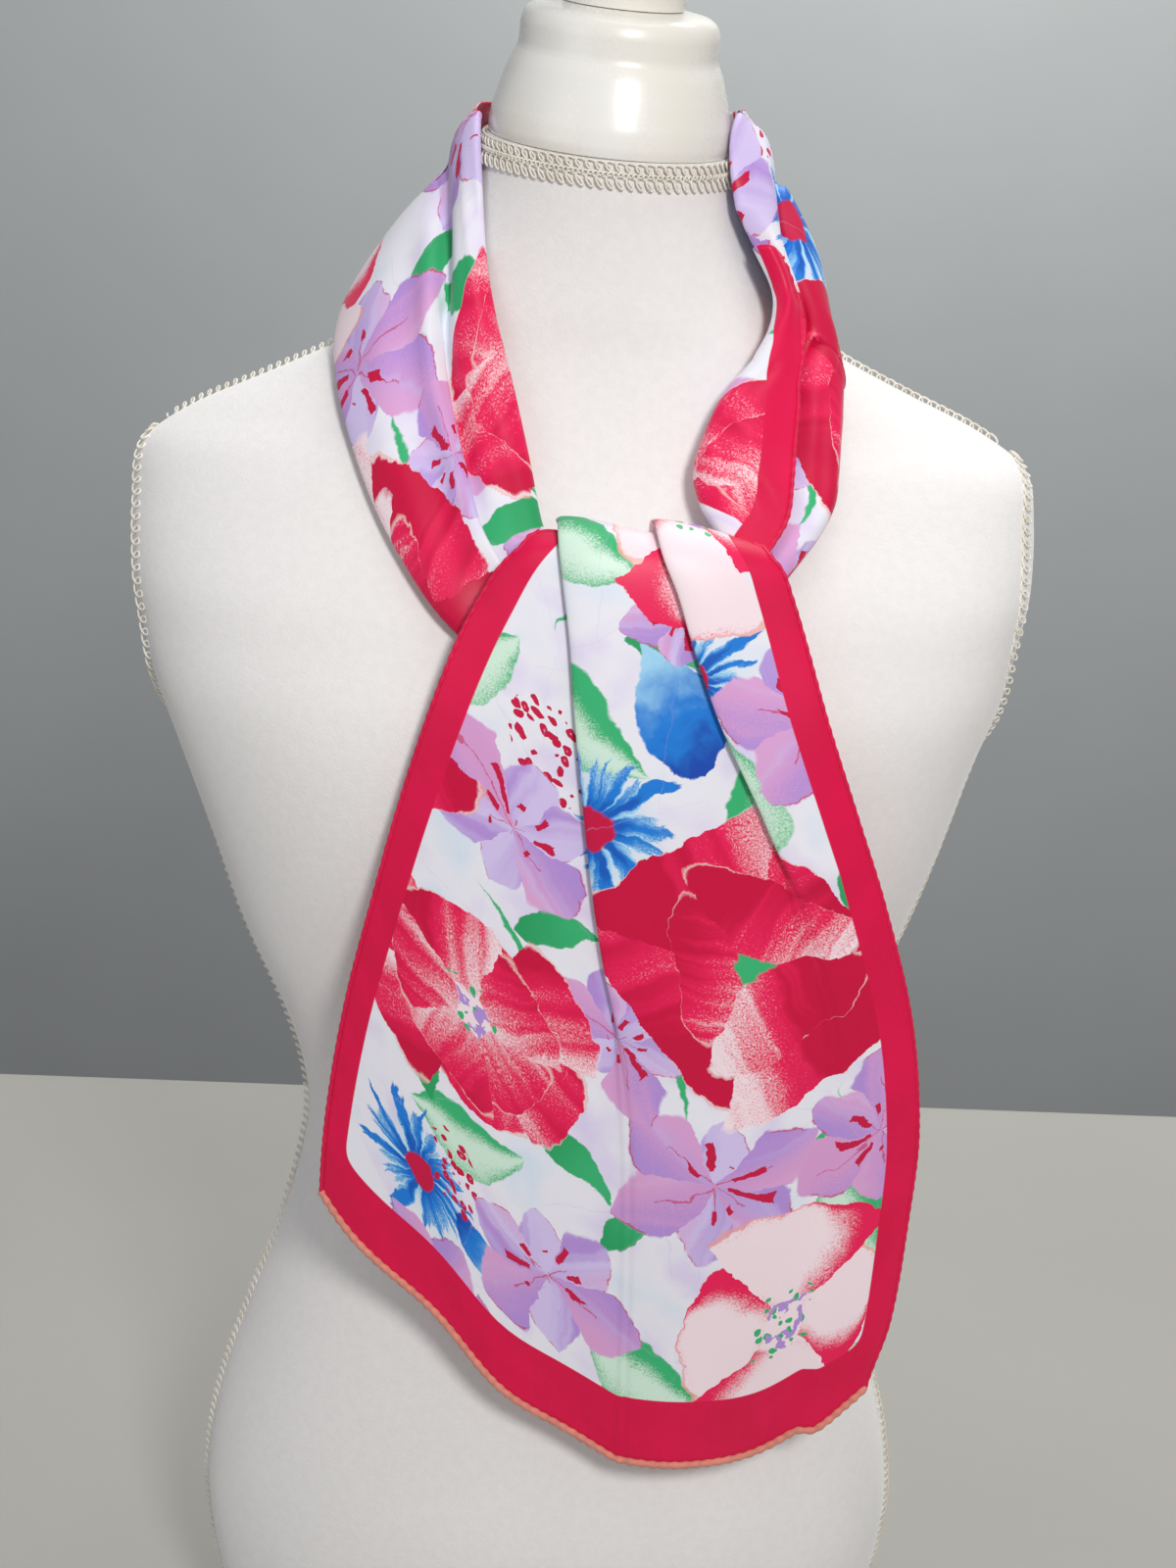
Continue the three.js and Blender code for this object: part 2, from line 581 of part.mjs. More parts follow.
// Its two pleats by height: the x of the fold, how far it laps over the facet on its -X side, and
// the height of one layer where it has opened, as a share of a full fold's.
const PANEL_PLEATS = [
  { z: 194, pleatA: 33, lapA: -10, openA: 0.6, pleatB: 112, lapB: -8, openB: 0.1 },
  { z: 260, pleatA: 32, lapA: -10, openA: 0.6, pleatB: 112, lapB: -8, openB: 0.1 },
  { z: 310, pleatA: 31, lapA: -9, openA: 0.6, pleatB: 112, lapB: -8, openB: 0.1 },
  { z: 350, pleatA: 29, lapA: -6, openA: 0.6, pleatB: 112, lapB: -8, openB: 0.15 },
  { z: 400, pleatA: 22, lapA: -2, openA: 0.6, pleatB: 110, lapB: -8, openB: 0.3 },
  { z: 450, pleatA: 13, lapA: 5, openA: 0.6, pleatB: 93, lapB: -5, openB: 0.5 },
  { z: 485, pleatA: 8, lapA: 9, openA: 0.6, pleatB: 79, lapB: 2, openB: 0.5 },
  { z: 525, pleatA: 3, lapA: 10, openA: 0.6, pleatB: 59, lapB: 7, openB: 0.5 },
  { z: 555, pleatA: 0, lapA: 9, openA: 0.6, pleatB: 47, lapB: 8, openB: 0.5 },
  { z: 575, pleatA: -3, lapA: 8, openA: 0.5, pleatB: 40, lapB: 8, openB: 0.5 },
  { z: 587, pleatA: -5, lapA: 6, openA: 0.4, pleatB: 34, lapB: 7, openB: 0.4 },
  { z: 598, pleatA: -7, lapA: 4, openA: 0.3, pleatB: 29, lapB: 6, openB: 0.3 },
];
const EDGE_COLUMNS = ['left', 'right', 'backLeft', 'backRight'];
const PLEAT_COLUMNS = ['pleatA', 'lapA', 'openA', 'pleatB', 'lapB', 'openB'];

// The middle of the panel from behind the knot over its top and down. drop is the length from the
// top, and fold is the height of one layer there.
const PANEL_FALL = [
  { drop: -34, y: -90, z: 565, fold: 0.4 },
  { drop: -22, y: -89, z: 576, fold: 0.6 },
  { drop: -10, y: -93, z: 587.5, fold: 1.2 },
  { drop: 0, y: -102, z: 594, fold: 2.6 },
  { drop: 11, y: -111, z: 590, fold: 3 },
  { drop: 22, y: -115, z: 580, fold: 3 },
  { drop: 50, y: -118, z: 552, fold: 3 },
  { drop: 85, y: -120, z: 517, fold: 3 },
  { drop: 130, y: -121, z: 472, fold: 3 },
  { drop: 200, y: -121, z: 402, fold: 3 },
  { drop: 280, y: -121, z: 322, fold: 3 },
  { drop: 408, y: -119, z: 194, fold: 3 },
];

// How much of the full length each part of the panel's width has. The lower edge falls from one
// corner to its lowest point and rises a little to the other.
const PANEL_REACH = [
  { across: 0, reach: 0.712 },
  { across: 0.06, reach: 0.765 },
  { across: 0.14, reach: 0.808 },
  { across: 0.22, reach: 0.85 },
  { across: 0.32, reach: 0.89 },
  { across: 0.4, reach: 0.927 },
  { across: 0.5, reach: 0.965 },
  { across: 0.58, reach: 0.99 },
  { across: 0.68, reach: 1 },
  { across: 0.78, reach: 1 },
  { across: 0.86, reach: 0.988 },
  { across: 0.94, reach: 0.956 },
  { across: 1, reach: 0.917 },
];

// Where the pleats and edges meet the lower edge, as shares of its width.
const PLEAT_A_ACROSS = 0.557;
const PLEAT_B_ACROSS = 0.92;

const PANEL_ROWS = { behind: 6, front: 23, closer: 1.4 }; // closer together near the top
const PANEL_LENGTH = PANEL_FALL[PANEL_FALL.length - 1].drop;

// How the panel gathers behind the knot: its edges come in and its pleats open, per mm of drop.
const PANEL_GATHER = { left: 0.2, pleatA: 0.4, right: 0.24, lap: 0.5 };

// The panel's edges and pleats at one drop and height.
function panelEdges(drop, z) {
  const edges = {
    ...readTable(PANEL_EDGES, 'z', EDGE_COLUMNS, z),
    ...readTable(PANEL_PLEATS, 'z', PLEAT_COLUMNS, z),
  };
  if (drop > 0) return edges;
  const top = { ...PANEL_EDGES[PANEL_EDGES.length - 1], ...PANEL_PLEATS[PANEL_PLEATS.length - 1] };
  return {
    ...top,
    left: top.left - PANEL_GATHER.left * drop,
    pleatA: top.pleatA - PANEL_GATHER.pleatA * drop,
    right: top.right + PANEL_GATHER.right * drop,
    lapA: top.lapA + PANEL_GATHER.lap * drop,
    lapB: top.lapB + PANEL_GATHER.lap * drop,
  };
}

// The panel's section at one drop. Each control is a share of the width of the lower edge, a place
// between the edges and pleats, and a height there.
function panelSection(drop) {
  const { fold } = readTable(PANEL_FALL, 'drop', ['fold'], drop);
  const foldA = (e) => foldControls(e.lapA, 0, e.openA * fold);
  const foldB = (e) => foldControls(e.lapB, 0.2 * fold, e.openB * fold);
  const leftFacet = (t) => [
    PLEAT_A_ACROSS * t,
    (e) => lerp(e.left, e.pleatA + foldA(e)[0][0], t),
  ];
  const middleFacet = (t) => [
    lerp(PLEAT_A_ACROSS, PLEAT_B_ACROSS, t),
    (e) => lerp(e.pleatA + foldA(e)[5][0], e.pleatB + foldB(e)[0][0], t),
  ];
  const rightFacet = (t) => [
    lerp(PLEAT_B_ACROSS, 1, t),
    (e) => lerp(e.pleatB + foldB(e)[5][0], e.right, t),
  ];
  const swell = (e) => Math.min(fold, (e.pleatA - e.left) / 8);
  const pleatA = [0, 1, 2, 3, 4, 5].map((i) => [
    PLEAT_A_ACROSS,
    (e) => e.pleatA + foldA(e)[i][0],
    (e) => foldA(e)[i][1],
  ]);
  const pleatB = [0, 1, 2, 3, 4, 5].map((i) => [
    PLEAT_B_ACROSS,
    (e) => e.pleatB + foldB(e)[i][0],
    (e) => foldB(e)[i][1],
  ]);
  return {
    controls: [
      [...leftFacet(0), () => 0],
      [...leftFacet(0.1), (e) => 0.4 * swell(e)],
      [...leftFacet(0.24), (e) => 0.8 * swell(e)],
      [...leftFacet(0.42), (e) => 0.8 * swell(e)],
      [...leftFacet(0.6), (e) => 0.6 * swell(e)],
      [...leftFacet(0.8), (e) => 0.2 * swell(e)],
      ...pleatA,
      [...middleFacet(0.2), (e) => foldA(e)[5][1]],
      [...middleFacet(0.42), (e) => 0.7 * foldA(e)[5][1]],
      [...middleFacet(0.66), () => 0.8 * fold],
      [...middleFacet(0.84), () => 0.3 * fold],
      ...pleatB,
      [...rightFacet(0.3), (e) => 0.9 * foldB(e)[5][1]],
      [...rightFacet(0.6), (e) => 0.5 * foldB(e)[5][1]],
      [...rightFacet(0.88), () => 0.4 * fold],
      [...rightFacet(1), () => 0],
    ],
    places: [
      0, 1, 2, 3, 4, 5, 6, 6.6, 7, 7.4, 8, 9, 9.6, 10, 10.4, 11, 12, 13, 14, 15, 16, 16.6, 17, 17.4,
      18, 19, 19.6, 20, 20.4, 21, 22, 23, 24, 25,
    ],
  };
}

function panelPoint(drop, [across, place, heightOf]) {
  const { reach } = readTable(PANEL_REACH, 'across', ['reach'], across);
  const fall = drop * lerp(1, reach, THREE.MathUtils.smoothstep(drop, 0, 60));
  const here = readTable(PANEL_FALL, 'drop', ['y', 'z'], fall - 1);
  const next = readTable(PANEL_FALL, 'drop', ['y', 'z'], fall + 1);
  const out = vec(0, next.z - here.z, here.y - next.y).normalize();
  const middle = vec(0, (here.y + next.y) / 2, (here.z + next.z) / 2);
  const edges = panelEdges(fall, middle.z);
  const x = place(edges);
  const side = (2 * (x - edges.left)) / (edges.right - edges.left) - 1;
  const back = (side < 0 ? edges.backLeft : edges.backRight) * side ** 2;
  return middle.setX(x).addScaledVector(out, heightOf(edges) - back);
}

function frontPanel() {
  const { behind, front, closer } = PANEL_ROWS;
  const grid = [];
  for (let r = -behind; r <= front; r += 1) {
    const share = r < 0 ? r / behind : (r / front) ** closer;
    const drop = r < 0 ? -share * PANEL_FALL[0].drop : share * PANEL_LENGTH;
    const { controls, places } = panelSection(drop);
    grid.push(roundedCurve(controls.map((control) => panelPoint(drop, control)), places));
  }
  return wall(grid);
}

// ---------------------------------------------------------------------------------------------
// The knot and the scarf's other end
// ---------------------------------------------------------------------------------------------

// The layers that cross inside the knot, as one rounded solid.
const KNOT_CORE = { x: 27, y: -102.2, z: 575, halfX: 36, halfY: 12, halfZ: 14.5, turns: 20, levels: 10 };

// The plain end under the panel: its edges by height, and the depth of its soft folds.
const TAIL_WIDTHS = [
  { z: 296, left: -18, right: 100, wave: 1.2 },
  { z: 340, left: -16, right: 96, wave: 1.3 },
  { z: 400, left: -12, right: 90, wave: 1.4 },
  { z: 450, left: -8, right: 84, wave: 1.2 },
  { z: 500, left: -2, right: 74, wave: 1 },
  { z: 540, left: 6, right: 62, wave: 0.6 },
  { z: 561, left: 8, right: 54, wave: 0.3 },
];
// Below the bust the tail hangs plumb. Above it the tail lies on the chest and in behind the knot.
const TAIL = { plumbY: -113.8, knotY: -88.4, bustZ: 496, folds: 2.5, rows: 18, columns: 16 };

function knotCore() {
  const geometry = new THREE.SphereGeometry(1, KNOT_CORE.turns, KNOT_CORE.levels);
  geometry.scale(KNOT_CORE.halfX, KNOT_CORE.halfY, KNOT_CORE.halfZ);
  return geometry;
}

function underTail() {
  const bottom = TAIL_WIDTHS[0].z;
  const top = TAIL_WIDTHS[TAIL_WIDTHS.length - 1].z;
  const grid = [];
  for (let r = 0; r < TAIL.rows; r += 1) {
    const z = lerp(top, bottom, r / (TAIL.rows - 1));
    const row = readTable(TAIL_WIDTHS, 'z', ['left', 'right', 'wave'], z);
    const points = [];
    for (let c = 0; c < TAIL.columns; c += 1) {
      const across = c / (TAIL.columns - 1);
      const raised = row.wave * (1 - Math.cos(2 * Math.PI * TAIL.folds * across)) / 2;
      const hung = z < TAIL.bustZ ? TAIL.plumbY : TAIL.knotY;
      const point = settle(vec(lerp(row.left, row.right, across), hung, z), CLOTH_LIFT);
      points.push(point.setY(point.y - raised));
    }
    grid.push(points);
  }
  return wall(grid);
}

// ---------------------------------------------------------------------------------------------
// The group
// ---------------------------------------------------------------------------------------------

const materials = Object.fromEntries(
  Object.entries(FINISHES).map(([name, finish]) => [name, new THREE.MeshStandardMaterial(finish)]),
);

function named(name, geometry, finish) {
  const mesh = new THREE.Mesh(geometry, materials[finish]);
  mesh.name = name;
  return mesh;
}

function dressForm() {
  const form = new THREE.Group();
  form.add(named('form_torso', torso(), 'jersey'), named('neck_braid', neckBraid(), 'braid'));
  for (const [side, hand] of [['left', -1], ['right', 1]]) {
    form.add(
      named(`shoulder_braid_${side}`, shoulderBraid(hand), 'braid'),
      named(`armhole_braid_${side}`, armholeBraid(hand), 'braid'),
      named(`side_braid_${side}`, sideBraid(hand), 'braid'),
    );
  }
  const neckTop = new THREE.Group();
  neckTop.position.set(NECK_TOP.x, NECK_TOP.y, NECK_TOP.z);
  neckTop.rotation.set(radians(NECK_TOP.fallsFront), radians(NECK_TOP.fallsSide), 0);
  const cap = named('neck_cap', turned(CAP_PROFILE), 'plastic');
  cap.position.z = SEAM_GAP;
  const finial = named('neck_finial', turned(FINIAL_PROFILE), 'plastic');
  finial.position.z = CAP_PROFILE[CAP_PROFILE.length - 1][1] + 2 * SEAM_GAP;
  neckTop.add(cap, finial);
  form.add(neckTop);
  return form;
}

function scarf() {
  const group = new THREE.Group();
  const core = named('scarf_knot_core', knotCore(), 'print');
  core.position.set(KNOT_CORE.x, KNOT_CORE.y, KNOT_CORE.z);
  group.add(
    named('scarf_left_strand', loopStretch(LEFT_STRAND), 'print'),
    named('scarf_back_neck', loopStretch(BACK_NECK), 'print'),
    named('scarf_right_upper', loopStretch(RIGHT_UPPER), 'print'),
    named('scarf_right_lower', loopStretch(RIGHT_LOWER), 'print'),
    core,
    named('scarf_front_panel', frontPanel(), 'print'),
    named('scarf_under_tail', underTail(), 'print'),
  );
  return group;
}

const part = new THREE.Group();
part.add(dressForm(), scarf());
export default part;
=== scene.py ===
import math
from collections import namedtuple

import bmesh
import bpy
from bpy.props import FloatProperty, FloatVectorProperty, IntProperty, PointerProperty
from mathutils import Matrix, Vector


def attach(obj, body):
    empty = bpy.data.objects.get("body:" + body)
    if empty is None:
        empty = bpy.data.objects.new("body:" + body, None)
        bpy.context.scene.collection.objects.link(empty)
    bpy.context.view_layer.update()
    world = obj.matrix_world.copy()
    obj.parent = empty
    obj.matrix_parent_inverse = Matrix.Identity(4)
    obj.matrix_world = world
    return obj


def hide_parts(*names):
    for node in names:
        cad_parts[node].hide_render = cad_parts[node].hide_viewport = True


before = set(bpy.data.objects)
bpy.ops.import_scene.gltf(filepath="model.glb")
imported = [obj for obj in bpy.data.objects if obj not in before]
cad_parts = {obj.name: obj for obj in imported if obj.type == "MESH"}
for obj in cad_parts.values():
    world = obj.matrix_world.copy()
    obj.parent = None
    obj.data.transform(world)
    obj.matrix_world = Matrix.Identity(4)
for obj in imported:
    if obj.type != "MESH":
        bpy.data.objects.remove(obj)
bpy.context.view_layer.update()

bl_info = {
    "name": "Oblong scarf on a dress form",
    "version": (1, 0, 0),
    "blender": (4, 5, 0),
    "location": "3D View > Sidebar > Scarf",
    "description": "A printed scarf that is tied round the neck of a dress form",
    "category": "Add Mesh",
}

BODY = "root"
MM = 0.001


def linear(colour):
    """A colour written as six hex digits, as light values."""
    parts = [int(colour[i : i + 2], 16) / 255 for i in (0, 2, 4)]
    return tuple(p / 12.92 if p <= 0.04045 else ((p + 0.055) / 1.055) ** 2.4 for p in parts)


# ----------------------------------------------------------------------------------------------
# Settings
# ----------------------------------------------------------------------------------------------


class FormSettings(bpy.types.PropertyGroup):
    """Sizes and colours of the dress form."""

    segments: IntProperty(name="Segments", description="Faces round the torso", default=120)
    jersey: FloatVectorProperty(
        name="Jersey",
        description="Colour of the napped cover",
        subtype="COLOR",
        default=linear("f4f1ef"),
    )
    trim: FloatVectorProperty(
        name="Braid",
        description="Colour of the cord trim",
        subtype="COLOR",
        default=linear("f6f1e7"),
    )
    plastic: FloatVectorProperty(
        name="Cap",
        description="Colour of the cap and finial",
        subtype="COLOR",
        default=linear("f2f0eb"),
    )
    cord: FloatProperty(
        name="Cord", description="Thickness of the braid's cord", unit="LENGTH", default=0.0009
    )


class ScarfSettings(bpy.types.PropertyGroup):
    """Sizes and colours of the scarf."""

    cloth: FloatProperty(
        name="Cloth", description="Thickness of the cloth", unit="LENGTH", default=0.0005
    )
    hem: FloatProperty(
        name="Hem", description="Thickness of the rolled hem", unit="LENGTH", default=0.0019
    )
    side_border: FloatProperty(
        name="Side border",
        description="Width of the border on a long edge",
        unit="LENGTH",
        default=0.0145,
    )
    end_border: FloatProperty(
        name="End border",
        description="Width of the border on a short edge",
        unit="LENGTH",
        default=0.031,
    )
    ground: FloatVectorProperty(
        name="Ground",
        description="Colour between the flowers",
        subtype="COLOR",
        default=linear("f0eef6"),
    )
    crimson: FloatVectorProperty(
        name="Crimson",
        description="Colour of the border",
        subtype="COLOR",
        default=linear("e40a4c"),
    )
    reverse: FloatVectorProperty(
        name="Reverse",
        description="Colour of the border's reverse",
        subtype="COLOR",
        default=linear("e58f7d"),
    )


class StageSettings(bpy.types.PropertyGroup):
    """The floor, the backdrop and the light."""

    floor: FloatVectorProperty(
        name="Floor",
        description="Colour of the floor",
        subtype="COLOR",
        default=linear("aeaca6"),
    )
    wall: FloatVectorProperty(
        name="Backdrop",
        description="Colour of the backdrop",
        subtype="COLOR",
        default=linear("b6b9ba"),
    )
    key: FloatProperty(
        name="Key light",
        description="Strength of the main light, in watts",
        unit="POWER",
        default=13.0,
    )


# ----------------------------------------------------------------------------------------------
# The form's sizes, in millimetres
# ----------------------------------------------------------------------------------------------

# Rings of the torso: the height, half the width, the depths to the front and the back, the middle,
# and the power that squares it off.
Ring = namedtuple("Ring", "z half front back mid_x mid_y square")
TORSO_RINGS = [
    Ring(0, 138, 84, 92, 0, 0, 2.2),
    Ring(50, 159, 98, 104, 0, 0, 2.2),
    Ring(98, 167, 105, 110, 0, 0, 2.2),
    Ring(130, 165.5, 105, 110, 0, 0, 2.2),
    Ring(166, 158, 101, 103, 0, 0, 2.2),
    Ring(207, 144.5, 96, 93, 0, 0, 2.2),
    Ring(248, 130, 89, 82, 0, 0, 2.2),
    Ring(295, 119, 82, 74, 0.5, 0, 2.2),
    Ring(320, 119, 82, 73, 1, 0, 2.2),
    Ring(353, 128.5, 87, 76, 2, 0, 2.2),
    Ring(400, 148, 98, 82, 2.5, 0, 2.3),
    Ring(438, 160, 106, 86, 3, 0, 2.4),
    Ring(483, 173.5, 110, 90, 2, 0, 2.5),
    Ring(515, 184, 107, 92, 2, 0, 2.6),
    Ring(540, 189.5, 99, 91, 2, 0, 2.6),
    Ring(560, 193, 91, 90, 2, 0, 2.6),
    Ring(590, 193.5, 74, 80, 1.5, 2, 2.4),
    Ring(610, 189, 63, 70, 1.5, 4, 2.2),
    Ring(625, 168, 56, 62, 1.5, 6, 2),
    Ring(640, 135, 52, 56, 2, 8, 2),
    Ring(655, 104, 50, 54, 2.5, 9, 2),
    Ring(670, 83, 50, 53, 3, 9, 2),
    Ring(688, 70, 49, 52, 4, 8, 2),
    Ring(710, 59, 48, 51, 5, 5, 2),
    Ring(738, 50.5, 48, 50, 7, 0, 2),
    Ring(760, 50, 48, 50, 8, -3, 2),
]
# The torso's rows of faces: how many there are up to each height.
Levels = namedtuple("Levels", "to steps")
TORSO_LEVELS = [Levels(250, 40), Levels(600, 70), Levels(704, 60), Levels(738, 12)]

# The middle of the neck's tilted top, how it falls, and the height from which the neck bends.
NECK_TOP = Vector((7, 0, 738))
NECK_FALLS_FRONT = math.radians(8)
NECK_FALLS_SIDE = math.radians(4)
NECK_BENDS_FROM = 690

# Half profiles of the turned pieces on the neck, as radius and height over the neck.
CAP_PROFILE = [
    (49.5, 0), (50.2, 3), (49.3, 10), (46.5, 20), (43.5, 29), (41.5, 33), (40.5, 35),
    (40.5, 44), (39, 48.5), (35.5, 51), (26, 52.5),
]
FINIAL_PROFILE = [
    (24.5, 0), (26, 8), (29, 17), (33, 25), (35, 34), (34, 43), (29.5, 51), (21, 56.5), (11, 59),
]
PIECE_GAP = 0.3
TURNED_SEGMENTS = 96
TURNED_EDGE = 1.6

# Where the braids run: round the armholes, along the shoulders and down the sides.
Armhole = namedtuple("Armhole", "top bottom front_half back_half")
ARMHOLE = Armhole(614, 490, 44, 46)
Shoulder = namedtuple("Shoulder", "from_x to_x y")
SHOULDER = Shoulder(66, 178, 7)
Side = namedtuple("Side", "from_z to_z y")
SIDE = Side(485.5, 8, -14)
BRAID_CLEAR = 0.7

# One loop of a chain braid, in mm: its step along the braid, how far it swings to each side, how
# much it doubles back, how far it rises over itself and how much it slants.
Chain = namedtuple("Chain", "step swing back rise slant")
EDGE_CHAIN = Chain(4.1, 1.85, 1.9, 0.4, 0.1)
ARMHOLE_CHAIN = Chain(5.4, 2.2, 2.5, 0.45, 0.1)
NECK_TOP_CHAIN = Chain(3.9, 1.8, 1.6, 0.4, -0.8)
NECK_MIDDLE_CHAIN = Chain(1.95, 0.6, 0.5, 0.5, 0)
NECK_LOW_CHAIN = Chain(3.9, 2.5, 1.7, 0.4, -0.75)

# How many points one loop has, and how far down the neck each of its rows runs.
LOOP_POINTS = 12
NECK_ROWS = ((2.4, NECK_TOP_CHAIN), (5.4, NECK_MIDDLE_CHAIN), (8.9, NECK_LOW_CHAIN))

# How strongly a braid leans forwards, and the y over which that turns to a lean backwards. The
# braids on the shoulders and sides never reach the y at which they would turn.
BRAID_LEAN = 0.9
LEAN_OVER = 8
ALL_FORWARDS = 50
ARMHOLE_TURNS = 4

# ----------------------------------------------------------------------------------------------
# The scarf's sizes, in millimetres
# ----------------------------------------------------------------------------------------------

# How far over the form the cloth lies before its folds.
CLOTH_LIFT = 3.3

# A fold's step from layer to layer and the round of its edge, the laps at which it has closed and
# opened, and the space between the controls of an open one.
FOLD_STEP = 3
FOLD_TIP = 1.2
FOLD_CLOSED = 2
FOLD_OPEN = -6
FOLD_SPACING = 1.6

# The step between a hem's points, how many of them lie from stitch to stitch, and the share of
# its thickness that it draws in by at each stitch.
HEM_STEP = 0.8
STITCH_POINTS = 6
STITCH_DRAW = 0.14

# Stations along the cloth, from the knot up the -X side, behind the neck and down the +X side to
# the knot: the edge next to the throat, the main fold line and the edge next to the shoulder.
Station = namedtuple("Station", "inner crease outer")
NECK_LOOP = [
    Station((-9, -84.5, 582.5), (-22, -92.5, 569.5), (-36.5, -103, 545.5)),
    Station((-14, -79, 592), (-35, -87, 584), (-53, -98, 560)),
    Station((-20, -65, 614), (-44, -70, 606), (-68, -86, 578)),
    Station((-29, -50, 646), (-51, -56, 628), (-81, -71, 597)),
    Station((-37, -41, 672), (-56, -44, 650), (-92, -54, 619)),
    Station((-43, -31, 700), (-58, -31, 676), (-100, -36, 640)),
    Station((-46.2, -22, 727), (-59, -14, 702), (-104, -10, 658)),
    Station((-47.1, -6, 748), (-61, 4, 720), (-101, 10, 669)),
    Station((-40, 30, 752), (-60, 40, 712), (-88, 52, 660)),
    Station((-18, 51, 752), (-30, 62, 704), (-44, 74, 650)),
    Station((5, 57, 751), (4, 68, 702), (3, 80, 647)),
    Station((30, 48, 751), (40, 60, 704), (50, 72, 650)),
    Station((50, 24, 751), (69, 36, 712), (92, 48, 660)),
    Station((56, -11, 751), (76, 6, 722), (99, 9, 668)),
    Station((57, -24, 729), (78, -8, 708), (102, -6, 659)),
    Station((63, -27, 704), (82, -18, 689), (104, -18, 651)),
    Station((75, -29, 679), (89, -26, 668), (106, -30, 645)),
    Station((69, -40, 655), (85, -42, 649), (106, -40, 636)),
    Station((56, -51, 641), (85, -51, 635), (105, -49, 625)),
    Station((49, -60, 627), (84, -60, 621), (104, -58, 613)),
    Station((45, -69, 613), (83, -71, 608), (102, -67, 602)),
    Station((48, -78, 601), (81, -81, 596), (95, -76, 591)),
    Station((56, -88, 590), (72, -92.6, 583), (81, -92.6, 574)),
]
LOOP_LAST = len(NECK_LOOP) - 1
# Points for each control of a section.
LOOP_FINENESS = 4

# How far the outer facet laps over the inner one, the height at the bottom of the crease, the rise
# of an open crease and how far a facet swells, by station.
Fold = namedtuple("Fold", "station lap low rise puff")
LOOP_FOLDS = [
    Fold(0, -6, 1, 1, 0),
    Fold(1, 3, 1, 1.2, 1),
    Fold(2, 5, 0.8, 1.4, 2),
    Fold(3, 5, 0.8, 1.4, 3),
    Fold(4, 2, 0.8, 1.4, 4),
    Fold(5, -3, 0.8, 1.4, 4),
    Fold(6, -6, 0.8, 1.3, 4),
    Fold(7, -6, 1, 1.2, 3),
    Fold(8, -6, 1.5, 0.8, 3),
    Fold(9, -6, 2, 0.5, 2),
    Fold(11, -6, 2, 0.5, 2),
    Fold(12, -6, 1.5, 0.8, 3),
    Fold(13, -3, 0.4, 1.2, 3.6),
    Fold(16, -3, 0.4, 1.2, 3.2),
    Fold(17, -6, 0, 0, 3.2),
    Fold(18, -6, 0, 0, 4),
    Fold(20, -6, 0, 0, 5),
    Fold(21, -6, 0, 0, 3),
    Fold(22, -6, 0, 0, 1),
]
# How far each stretch stops short of its first and last station.
STATION_TRIM = 0.0125

# Where the +X side twists, by station: where the upper stretch's edges lie across the loop, where
# the lower stretch's hem does, and how far its outer edge sinks under the upper stretch.
Twist = namedtuple("Twist", "station inner outer hem sink")
TWIST = [
    Twist(14.6, 0, 2, 0.5, 3.5),
    Twist(15.3, 0.3, 2, 0.56, 3.5),
    Twist(15.85, 0.55, 2, 0.62, 3.5),
    Twist(16, 0.6, 1.97, 0.66, 0.6),
    Twist(16.2, 0.68, 1.2, 0.72, 0),
    Twist(16.45, 0.82, 1.05, 0.84, 0),
    Twist(16.8, 0.98, 1.02, 1, 0),
    Twist(17.4, 0.98, 1.02, 1, 0),
]

# The lower stretch starts and the upper one ends at these stations, and the lower one's pouch is
# full up to one station and flat from another.
TWIST_FROM = 15.2
TWIST_TO = 16.7
POUCH_FULL = 16.5
POUCH_FLAT = 19

# Soft troughs in the loop, each from one station and place across to another, with its half width
# across and its depth in mm. A ridge has a depth below 0.
LoopTrough = namedtuple("LoopTrough", "v_from s_from v_to s_to wide deep")
LOOP_TROUGHS = [
    LoopTrough(0.5, 1.42, 6.9, 1.3, 0.17, 2.0),
    LoopTrough(0.8, 0.9, 6.9, 0.92, 0.1, 2.6),
    LoopTrough(0.8, 1.1, 6.9, 1.1, 0.12, -1.8),
    LoopTrough(0.8, 1.78, 5.8, 1.62, 0.16, -1.3),
    LoopTrough(2.6, 1.0, 7, 1.0, 0.1, 2.2),
    LoopTrough(3.2, 0.5, 7, 0.45, 0.17, 1.0),
    LoopTrough(0.4, 0.3, 3.2, 0.6, 0.14, 1.0),
    LoopTrough(7, 0.9, 12.9, 0.95, 0.12, 1.5),
    LoopTrough(7, 1.5, 12.9, 1.4, 0.14, 1.6),
    LoopTrough(7, 0.4, 12.9, 0.5, 0.12, -1.2),
    LoopTrough(12.9, 1.0, 16.1, 1.0, 0.13, 3.4),
    LoopTrough(12.9, 0.5, 16.1, 0.55, 0.22, -1.6),
    LoopTrough(12.9, 1.5, 16.1, 1.5, 0.22, -1.6),
    LoopTrough(18.5, 0.05, 21.6, 0.55, 0.07, 1.4),
    LoopTrough(18.5, 0.08, 21.0, 0.85, 0.08, 1.0),
    LoopTrough(18.9, 0.05, 16.8, 0.6, 0.1, 1.3),
    LoopTrough(16.6, 1.5, 21.4, 1.45, 0.15, 1.3),
]
# The share of its length over which a trough fades at each end.
TROUGH_FADE = 0.25

